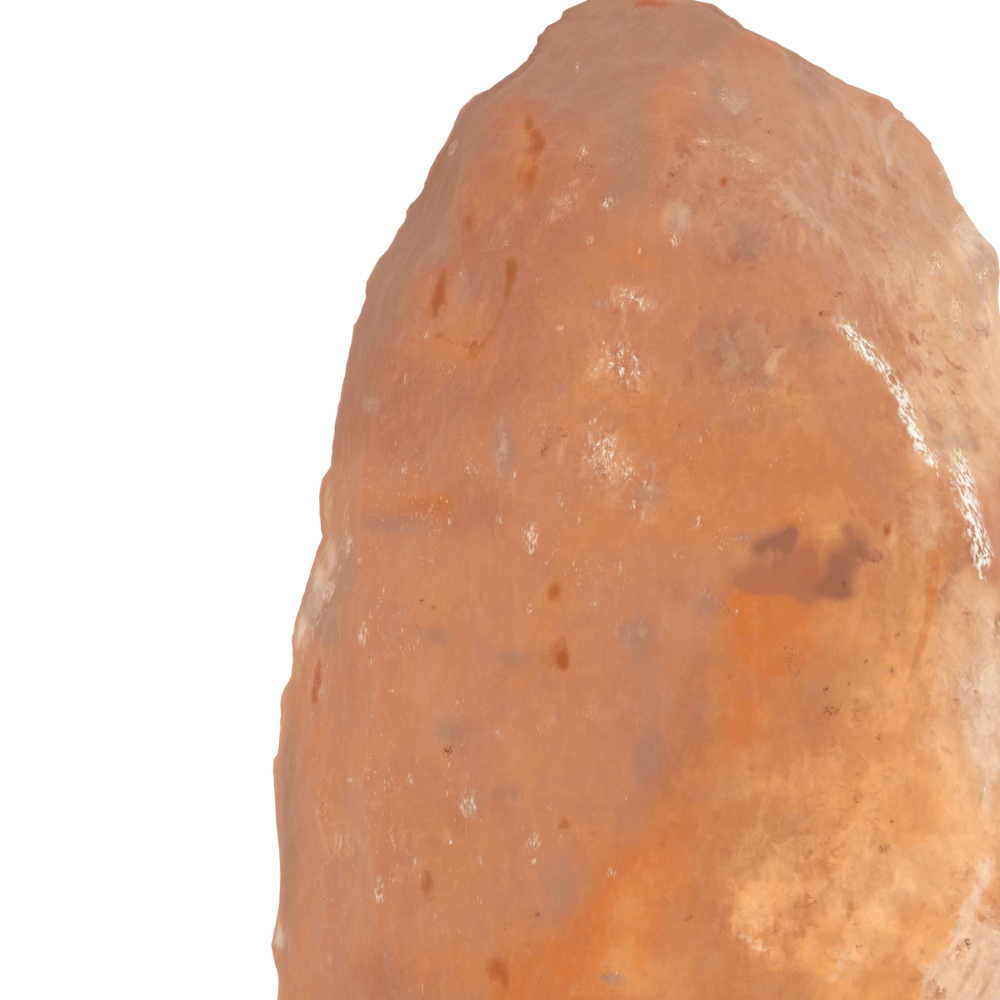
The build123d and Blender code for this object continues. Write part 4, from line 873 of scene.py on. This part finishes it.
    # cloudy lumps where the salt is thin, painted lighter as if lit from within, with darker
    # creases between them, and slanted strokes
    lumpy = least(plus(mark("lumps"), times(unknown, net.ramp(broad, 0.5, 0.7, 0.0, 0.5))), 1.0)
    big_fold = net.math("ABSOLUTE", swing(net.noise(rippled, 0.075, 5.0, 0.55), 2.0))
    small_fold = net.math("ABSOLUTE", swing(net.noise(rippled, 0.20, 4.0, 0.6), 2.0))
    layer(big_fold, 0.08, 0.26, 0.38, (248, 196, 136), lumpy)
    layer(big_fold, 0.14, 0.02, 0.36, (204, 134, 84), lumpy)
    layer(small_fold, 0.22, 0.36, 0.22, (250, 208, 158), lumpy)
    layer(small_fold, 0.12, 0.02, 0.18, (196, 124, 76), lumpy)
    strokes = times(least(plus(times(crackle, 0.7), times(lumpy, 0.3)), 1.0),
                    net.ramp(plus(other, swing(tuft, 0.5)), 0.40, 0.62, 0.25, 1.0), open_face)
    layer(leaf, 0.54, 0.66, 0.30, (246, 196, 144), strokes)
    layer(leaf, 0.46, 0.34, 0.34, (196, 124, 78), strokes)
    layer(small_leaf, 0.58, 0.68, 0.16, (250, 206, 160), strokes)
    layer(small_leaf, 0.40, 0.30, 0.24, (186, 112, 68), strokes)

    # painted shadow: the dark patch inside, the bore's end seen through the salt, with a lighter
    # brown rim; then stains with a soft rim, and wisps of clear grey salt
    layer(plus(mark("painted_bore_shadow_rim"), ragged), 0.20, 0.9, 0.75, (182, 110, 80))
    layer(plus(mark("dark"), times(ragged, 1.1)), 0.25, 1.0, 0.85, (160, 104, 80))
    stain = plus(mark("red"), times(ragged, 1.7), swing(streak, 1.2), swing(fine, 0.8))
    stain = net.ramp(stain, 0.25, 1.75)
    layer(stain, 0.0, 0.4, 0.45, (204, 110, 62))
    tint(times(stain, 0.9), 178, 90, 44)
    layer(net.noise(swayed, 0.11, 4.0, 0.6), 0.66, 0.80, 0.5, (202, 100, 56), unknown)
    layer(plus(mark("wisp"), swing(thread, 1.3), ragged), 0.35, 1.2, 0.55, (216, 182, 162))

    # fine cracks, short and broken, and small blots
    crack_gap = net.cells(moved(place, ripple, 3.4, 3.4, 3.4), 0.34, "DISTANCE_TO_EDGE")
    broken = net.ramp(net.noise(place, 0.30, 3.0, 0.6), 0.52, 0.64)
    layer(crack_gap, 0.060, 0.0, 0.3, (176, 104, 62), broken, crackle)
    layer(mottle, 0.38, 0.30, 0.45, (174, 106, 70), crackle)

    # dark grains
    grain_gap = net.cells(moved(place, ripple, 4.0, 4.0, 4.0), 1.7)
    some = net.ramp(plus(mark("speck"), swing(fine, 0.9)), 0.30, 0.75)
    strewn = net.ramp(net.noise(place, 0.16, 2.0, 0.5), 0.68, 0.74)
    layer(grain_gap, 0.42, 0.22, 0.9, (98, 48, 26), most(some, times(strewn, 0.4)))
    tint(times(some, 0.30), 170, 96, 58)

    # painted highlights: glints, broken edges of crystal that catch the light, painted into the
    # colour in clusters of fine points and strokes
    nudged = moved(place, ripple, 1.2, 1.2, 1.2)
    stroke = net.noise(net.scaled(nudged, (1.0, 1.0, 0.26)), 2.9, 3.0, 0.62)
    sliver = net.noise(net.scaled(nudged, (1.0, 1.0, 0.30)), 1.35, 2.0, 0.5, 0.4)
    blade = net.noise(net.scaled(rippled, (1.0, 1.0, 0.40)), 1.1, 3.0, 0.6, 0.2)
    cluster = net.noise(net.vec("ADD", swayed, (9.0, 60.0, 4.0)), 0.085, 3.0, 0.6)
    glint = plus(mark("glint"), times(unknown, net.ramp(cluster, 0.60, 0.74)))
    strong = least(glint, 1.3)
    inside = net.ramp(plus(glint, swing(mottle, 1.5), swing(blade, 0.9)), 0.20, 1.15)
    shine = most(
        times(net.ramp(sliver, 0.50, 0.62), inside, 0.38),
        times(net.ramp(stroke, 0.56, 0.66), net.ramp(sliver, 0.46, 0.56), inside, 0.62),
    )
    white = times(
        net.ramp(plus(stroke, times(sliver, 0.35), times(strong, 0.05)), 0.80, 0.88),
        net.ramp(strong, 0.5, 1.1), inside, 0.75,
    )

    # painted highlights: small lone sparks, and dashes among the glints
    lone = net.ramp(plus(mark("spark"), swing(mottle, 0.6)), 0.25, 0.85)
    shine = most(shine, times(net.ramp(stroke, 0.46, 0.56), lone, 0.95))
    white = most(white, times(net.ramp(stroke, 0.58, 0.68), lone, 0.75))
    dashes = net.scaled(nudged, (1.0, 1.0, 0.22))
    lot = net.axes(net.cells(dashes, 1.5, output="Color"))[0]
    dash = times(net.ramp(net.cells(dashes, 1.5), 0.30, 0.16), net.ramp(lot, 0.62, 0.74), inside)
    shine = most(shine, times(dash, 0.8))
    white = most(white, times(dash, net.ramp(plus(lot, times(strong, 0.08)), 0.86, 0.93)))

    # painted highlights along bright edges: the ridge, the edge under it and the flake's
    edge = plus(sliver, times(stroke, 0.4))
    for name, wide, high, low in (("ridge", 9.0, 189.0, 163.0), ("foot", 13.0, 170.0, 148.0)):
        gap = net.math("ABSOLUTE", plus(mark(name), swing(mottle, 16.0), -2.0))
        reach = times(net.ramp(z, high, high - 4.0), net.ramp(z, low, low + 4.0))
        line = times(net.ramp(gap, wide, 2.0), reach, net.ramp(edge, 0.62, 0.72))
        shine = most(shine, line)
        white = most(white, times(line, net.ramp(edge, 0.67, 0.76)))
    gap = net.math("ABSOLUTE", plus(mark("flake"), swing(mottle, 9.0), 3.0))
    reach = times(net.ramp(z, 166.0, 160.0), net.ramp(z, 132.0, 138.0))
    shine = most(shine, times(net.ramp(gap, 5.0, 1.0), net.ramp(blade, 0.50, 0.66), reach, 0.7))

    # painted highlights: small glints of broken salt strewn as points and as short strokes
    scattered = plus(times(mark("painted_glint_spread"), 0.10), times(unknown, 0.04))
    painted_glint_spread = net.ramp(plus(net.noise(place, 0.10, 4.0, 0.7), scattered), 0.56, 0.70)
    splinter = net.noise(dashes, 3.6, 1.0, 0.5)
    painted_glint_strokes = times(net.ramp(splinter, 0.65, 0.72), painted_glint_spread, 0.85)
    painted_glint_points = times(net.ramp(net.cells(place, 1.3), 0.12, 0.06),
                 most(times(painted_glint_spread, 0.7), net.ramp(glint, 0.1, 0.5)))
    shine = most(most(shine, painted_glint_points), painted_glint_strokes)
    # painted highlight: a light haze round the glint clusters
    painted_glint_haze = net.ramp(plus(mottle, times(blade, 0.6)), 0.66, 0.96)
    layer(glint, 0.0, 1.0, 0.35, (236, 184, 142), painted_glint_haze)
    # the painted highlights, cream and near white, are mixed into the base colour
    color = net.mix(times(shine, 0.75), color, (0.84, 0.62, 0.42))
    color = net.mix(times(white, 0.95), color, (0.97, 0.91, 0.85))

    # painted shade: the brim, where the surface turns away from the viewer, is painted darker near
    # the top and on the left
    shade = plus(net.ramp(z, 150.0, 180.0, 0.06, 0.26), net.ramp(z, 190.0, 208.0, 0.0, 0.30))
    tint(times(brim, shade, net.ramp(x, -20.0, 15.0, 1.0, 0.2)), 152, 104, 80)

    height = plus(times(mottle, 0.5), times(fine, 0.22), times(shine, 0.4), times(blade, 0.25))
    normal = net.bump(times(height, open_face), 0.0007, 0.5)
    rough = net.ramp(plus(mottle, times(shine, -0.5)), 0.2, 0.7, 0.30, 0.60)

    # light of the bulb through the salt: strongest where the wall beside the bore is thin
    axis_gap = net.vec("LENGTH", net.scaled(place, (1.0, 1.0, 0.0)))
    thin = net.math("EXPONENT", times(net.math("SUBTRACT", axis_gap, 23.0), -0.034))
    below = net.ramp(plus(z, times(mottle, 30.0)), 172.0, 132.0)
    lit = plus(times(known, least(mark("yellow"), 1.0)), times(unknown, 0.6))
    net.surface(
        Base_Color=color, Roughness=plus(rough, times(brim, 0.3)), Normal=normal, IOR=1.54,
        Specular_IOR_Level=0.28,
        Subsurface_Weight=0.4, Subsurface_Radius=(1.0, 0.45, 0.22), Subsurface_Scale=0.006,
        Emission_Color=net.mix(times(thin, below, lit, 0.5), (0, 0, 0), srgb(255, 176, 92)),
        Emission_Strength=1.0,
    )
    return net.material


rock.data.materials.clear()
rock.data.materials.append(rock_material())
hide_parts("salt_crystal")
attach(rock, "lamp_body")

# ------------------------------------------------------------------ other materials
def turned_wood():
    net = Net("turned_wood")
    place = net.in_mm()
    warp = net.noise_color(net.scaled(place, (0.35, 1.0, 1.0)), 0.022, 3.0)
    warp = net.scaled(net.vec("SUBTRACT", warp, (0.5, 0.5, 0.5)), (0.0, 26, 26))
    swayed = net.vec("ADD", place, warp)
    x, y, z = net.axes(swayed)
    ring = net.vec("LENGTH", net.node(
        "ShaderNodeCombineXYZ", {0: 0.0, 1: net.math("ADD", y, 34.0), 2: net.math("ADD", z, 95.0)},
    ).outputs[0])
    phase = net.math("FRACT", net.math("DIVIDE", ring, 5.2))
    late = net.math("POWER", phase, 3.0)
    streak = net.noise(net.scaled(place, (0.03, 1.0, 1.0)), 1.1, 5.0, 0.7)
    pores = net.ramp(net.noise(net.scaled(place, (0.06, 1.0, 1.0)), 2.6, 2.0, 0.5), 0.62, 0.70)
    broad = net.noise(net.scaled(place, (0.4, 1.0, 1.0)), 0.03, 3.0)
    color = net.mix(net.ramp(streak, 0.3, 0.7), srgb(96, 55, 30), srgb(134, 82, 48))
    color = net.mix(net.math("MULTIPLY", late, 0.7), color, srgb(66, 35, 18))
    color = net.mix(net.ramp(broad, 0.35, 0.65, 0.0, 0.35), color, srgb(84, 44, 22))
    color = net.mix(net.math("MULTIPLY", pores, 0.75), color, srgb(38, 20, 11))
    height = net.math("SUBTRACT", net.math("MULTIPLY", streak, 0.3), pores)
    rough = net.ramp(streak, 0.2, 0.8, 0.42, 0.30)
    net.surface(
        Base_Color=color, Roughness=rough, Normal=net.bump(height, 0.00012, 0.6),
        Coat_Weight=0.25, Coat_Roughness=0.18,
    )
    return net.material


def metal(name, bright, dull, rough, rough_spread=0.1, scratches=0.4):
    net = Net(name)
    place = net.in_mm()
    cloud = net.noise(place, 0.35, 4.0, 0.6)
    rub = net.noise(net.scaled(place, (1.0, 1.0, 0.12)), 3.0, 3.0, 0.7)
    color = net.mix(net.ramp(cloud, 0.35, 0.7), bright, dull)
    net.surface(
        Base_Color=color, Metallic=1.0,
        Roughness=net.ramp(cloud, 0.3, 0.7, rough, rough + rough_spread),
        Normal=net.bump(rub, 0.00004, scratches),
    )
    return net.material


def moulded(name, color, other, rough, grain=1.6, depth=0.00006, **more):
    net = Net(name)
    place = net.in_mm()
    broad = net.noise(place, 0.12, 3.0, 0.5)
    fine = net.noise(place, grain, 3.0, 0.6)
    net.surface(
        Base_Color=net.mix(net.ramp(broad, 0.35, 0.65), color, other),
        Roughness=net.ramp(broad, 0.3, 0.7, rough - 0.04, rough + 0.08),
        Normal=net.bump(fine, depth, 0.7), **more,
    )
    return net.material


def glass(name, tint, rough):
    net = Net(name)
    place = net.in_mm()
    ripple = net.noise(place, 0.12, 2.0, 0.5)
    net.surface(
        Base_Color=net.mix(net.ramp(ripple, 0.3, 0.7), tint, (1.0, 1.0, 1.0)),
        Roughness=net.ramp(ripple, 0.3, 0.7, rough, rough + 0.02), IOR=1.5,
        Transmission_Weight=1.0, Normal=net.bump(ripple, 0.0001, 0.4),
    )
    return net.material


def glowing_wire():
    net = Net("tungsten")
    place = net.in_mm()
    turns = net.math("SINE", net.math("MULTIPLY", net.axes(place)[0], 22.0))
    net.surface(
        Base_Color=net.mix(net.ramp(turns, -1.0, 1.0), (0.12, 0.11, 0.10), (0.32, 0.30, 0.28)),
        Metallic=1.0, Roughness=0.45, Normal=net.bump(turns, 0.0001, 0.8),
        Emission_Color=net.mix(net.ramp(turns, -1.0, 1.0), (1.0, 0.38, 0.10), (1.0, 0.55, 0.22)),
        Emission_Strength=3.0,
    )
    return net.material


METALS = {  # lighter and darker colour, roughness, spread of the roughness
    "zinc_steel": ((0.66, 0.67, 0.69), (0.52, 0.54, 0.57), 0.26),
    "plated_sheet": ((0.62, 0.61, 0.58), (0.50, 0.49, 0.46), 0.32, 0.12),
    "spring_steel": ((0.40, 0.41, 0.44), (0.28, 0.29, 0.33), 0.30),
    "brass": ((0.78, 0.57, 0.25), (0.60, 0.42, 0.17), 0.28, 0.14),
    "contact_bronze": ((0.72, 0.43, 0.22), (0.54, 0.31, 0.15), 0.30, 0.12),
    "cap_brass": ((0.80, 0.64, 0.34), (0.66, 0.50, 0.24), 0.24, 0.12),
    "solder": ((0.55, 0.55, 0.57), (0.40, 0.40, 0.43), 0.36, 0.14),
    "nickel_wire": ((0.58, 0.56, 0.52), (0.46, 0.44, 0.40), 0.30),
}
MOULDINGS = {  # the two colours, roughness, scale and depth of the grain
    "black_rubber": ((0.018, 0.018, 0.019), (0.03, 0.03, 0.03), 0.78, 2.4, 0.00012),
    "black_plastic": ((0.014, 0.014, 0.015), (0.024, 0.024, 0.024), 0.34),
    "white_ceramic": (srgb(228, 225, 216), srgb(216, 211, 199), 0.30, 0.9),
    "black_vitrite": ((0.01, 0.01, 0.012), (0.02, 0.02, 0.026), 0.14, 0.5),
}
finishes = {
    "turned_wood": turned_wood(),
    **{name: metal(name, *look) for name, look in METALS.items()},
    "nylon": moulded(
        "nylon", srgb(226, 222, 208), srgb(214, 208, 190), 0.45, Subsurface_Weight=0.15,
        Subsurface_Radius=(1.0, 0.9, 0.7), Subsurface_Scale=0.001,
    ),
    **{name: moulded(name, *look) for name, look in MOULDINGS.items()},
    "clear_glass": glass("clear_glass", (0.93, 0.96, 0.97), 0.01),
    "stem_glass": glass("stem_glass", (0.86, 0.91, 0.92), 0.04),
    "tungsten": glowing_wire(),
}
for entry in frame["record"]["subparts"]:
    if entry["node"] in nodes and entry["material_slot"] in finishes:
        for holder in nodes[entry["node"]].material_slots:
            holder.material = finishes[entry["material_slot"]]

# ------------------------------------------------------------------ stage and light
ROOM = 0.84  # what the white room gives the object; it still looks white, at 1, to the camera
FLOOR_RADIUS = 0.62
FLOOR_FADE = (0.18, 0.60)  # where the pale floor goes over into the white room

scene = bpy.context.scene
scene.view_settings.view_transform = "Standard"


def white_to_see(tree):
    """1 for rays from the camera, mirrors and glass, ROOM for the light that falls on things."""
    path = tree.nodes.new("ShaderNodeLightPath")
    seen = path.outputs["Is Camera Ray"]
    for ray in ("Is Glossy Ray", "Is Transmission Ray"):
        either = tree.nodes.new("ShaderNodeMath")
        either.operation = "MAXIMUM"
        tree.links.new(seen, either.inputs[0])
        tree.links.new(path.outputs[ray], either.inputs[1])
        seen = either.outputs[0]
    level = tree.nodes.new("ShaderNodeMapRange")
    level.inputs["To Min"].default_value = ROOM
    level.inputs["To Max"].default_value = 1.0
    tree.links.new(seen, level.inputs["Value"])
    return level.outputs[0]


world = bpy.data.worlds.new("studio")
scene.world = world
world.use_nodes = True
tree = world.node_tree
tree.nodes.clear()
shine = tree.nodes.new("ShaderNodeBackground")
shine.inputs["Color"].default_value = (1.0, 1.0, 1.0, 1.0)
tree.links.new(white_to_see(tree), shine.inputs["Strength"])
world_out = tree.nodes.new("ShaderNodeOutputWorld")
tree.links.new(shine.outputs[0], world_out.inputs[0])


def lamp(name, place, target, size, power):
    data = bpy.data.lights.new(name, "AREA")
    data.shape = "DISK"
    data.size = size
    data.energy = power
    made = placed(name, data)
    made.location = place
    made.rotation_mode = "QUATERNION"
    made.rotation_quaternion = (Vector(target) - Vector(place)).to_track_quat("-Z", "Y")
    return made


lamp("key", (0.9, -1.2, 1.0), (0, 0, 0.13), 0.9, 3.6)
lamp("rim", (1.0, 0.7, 0.5), (0, 0, 0.15), 0.6, 1.6)
lamp("fill", (-1.2, -1.0, 0.6), (0, 0, 0.13), 1.0, 3.0)


def make_floor():
    mesh = bpy.data.meshes.new("floor")
    turns = np.linspace(0, 2 * math.pi, 97)[:-1]
    ring = [(FLOOR_RADIUS * math.cos(a), FLOOR_RADIUS * math.sin(a), 0.0) for a in turns]
    mesh.from_pydata(ring, [], [list(range(len(ring)))])
    floor = placed("floor", mesh)
    net = Net("floor")
    away = net.vec("LENGTH", net.place)
    pale = net.node("ShaderNodeBsdfDiffuse", {"Color": (0.86, 0.86, 0.86)})
    white = net.node(
        "ShaderNodeEmission", {"Color": (1.0, 1.0, 1.0), "Strength": white_to_see(net.tree)},
    )
    both = net.node("ShaderNodeMixShader")
    net.feed(both.inputs[0], net.ramp(away, *FLOOR_FADE))
    net.tree.links.new(pale.outputs[0], both.inputs[1])
    net.tree.links.new(white.outputs[0], both.inputs[2])
    net.tree.links.new(both.outputs[0], net.out.inputs[0])
    mesh.materials.append(net.material)
    return floor


make_floor()
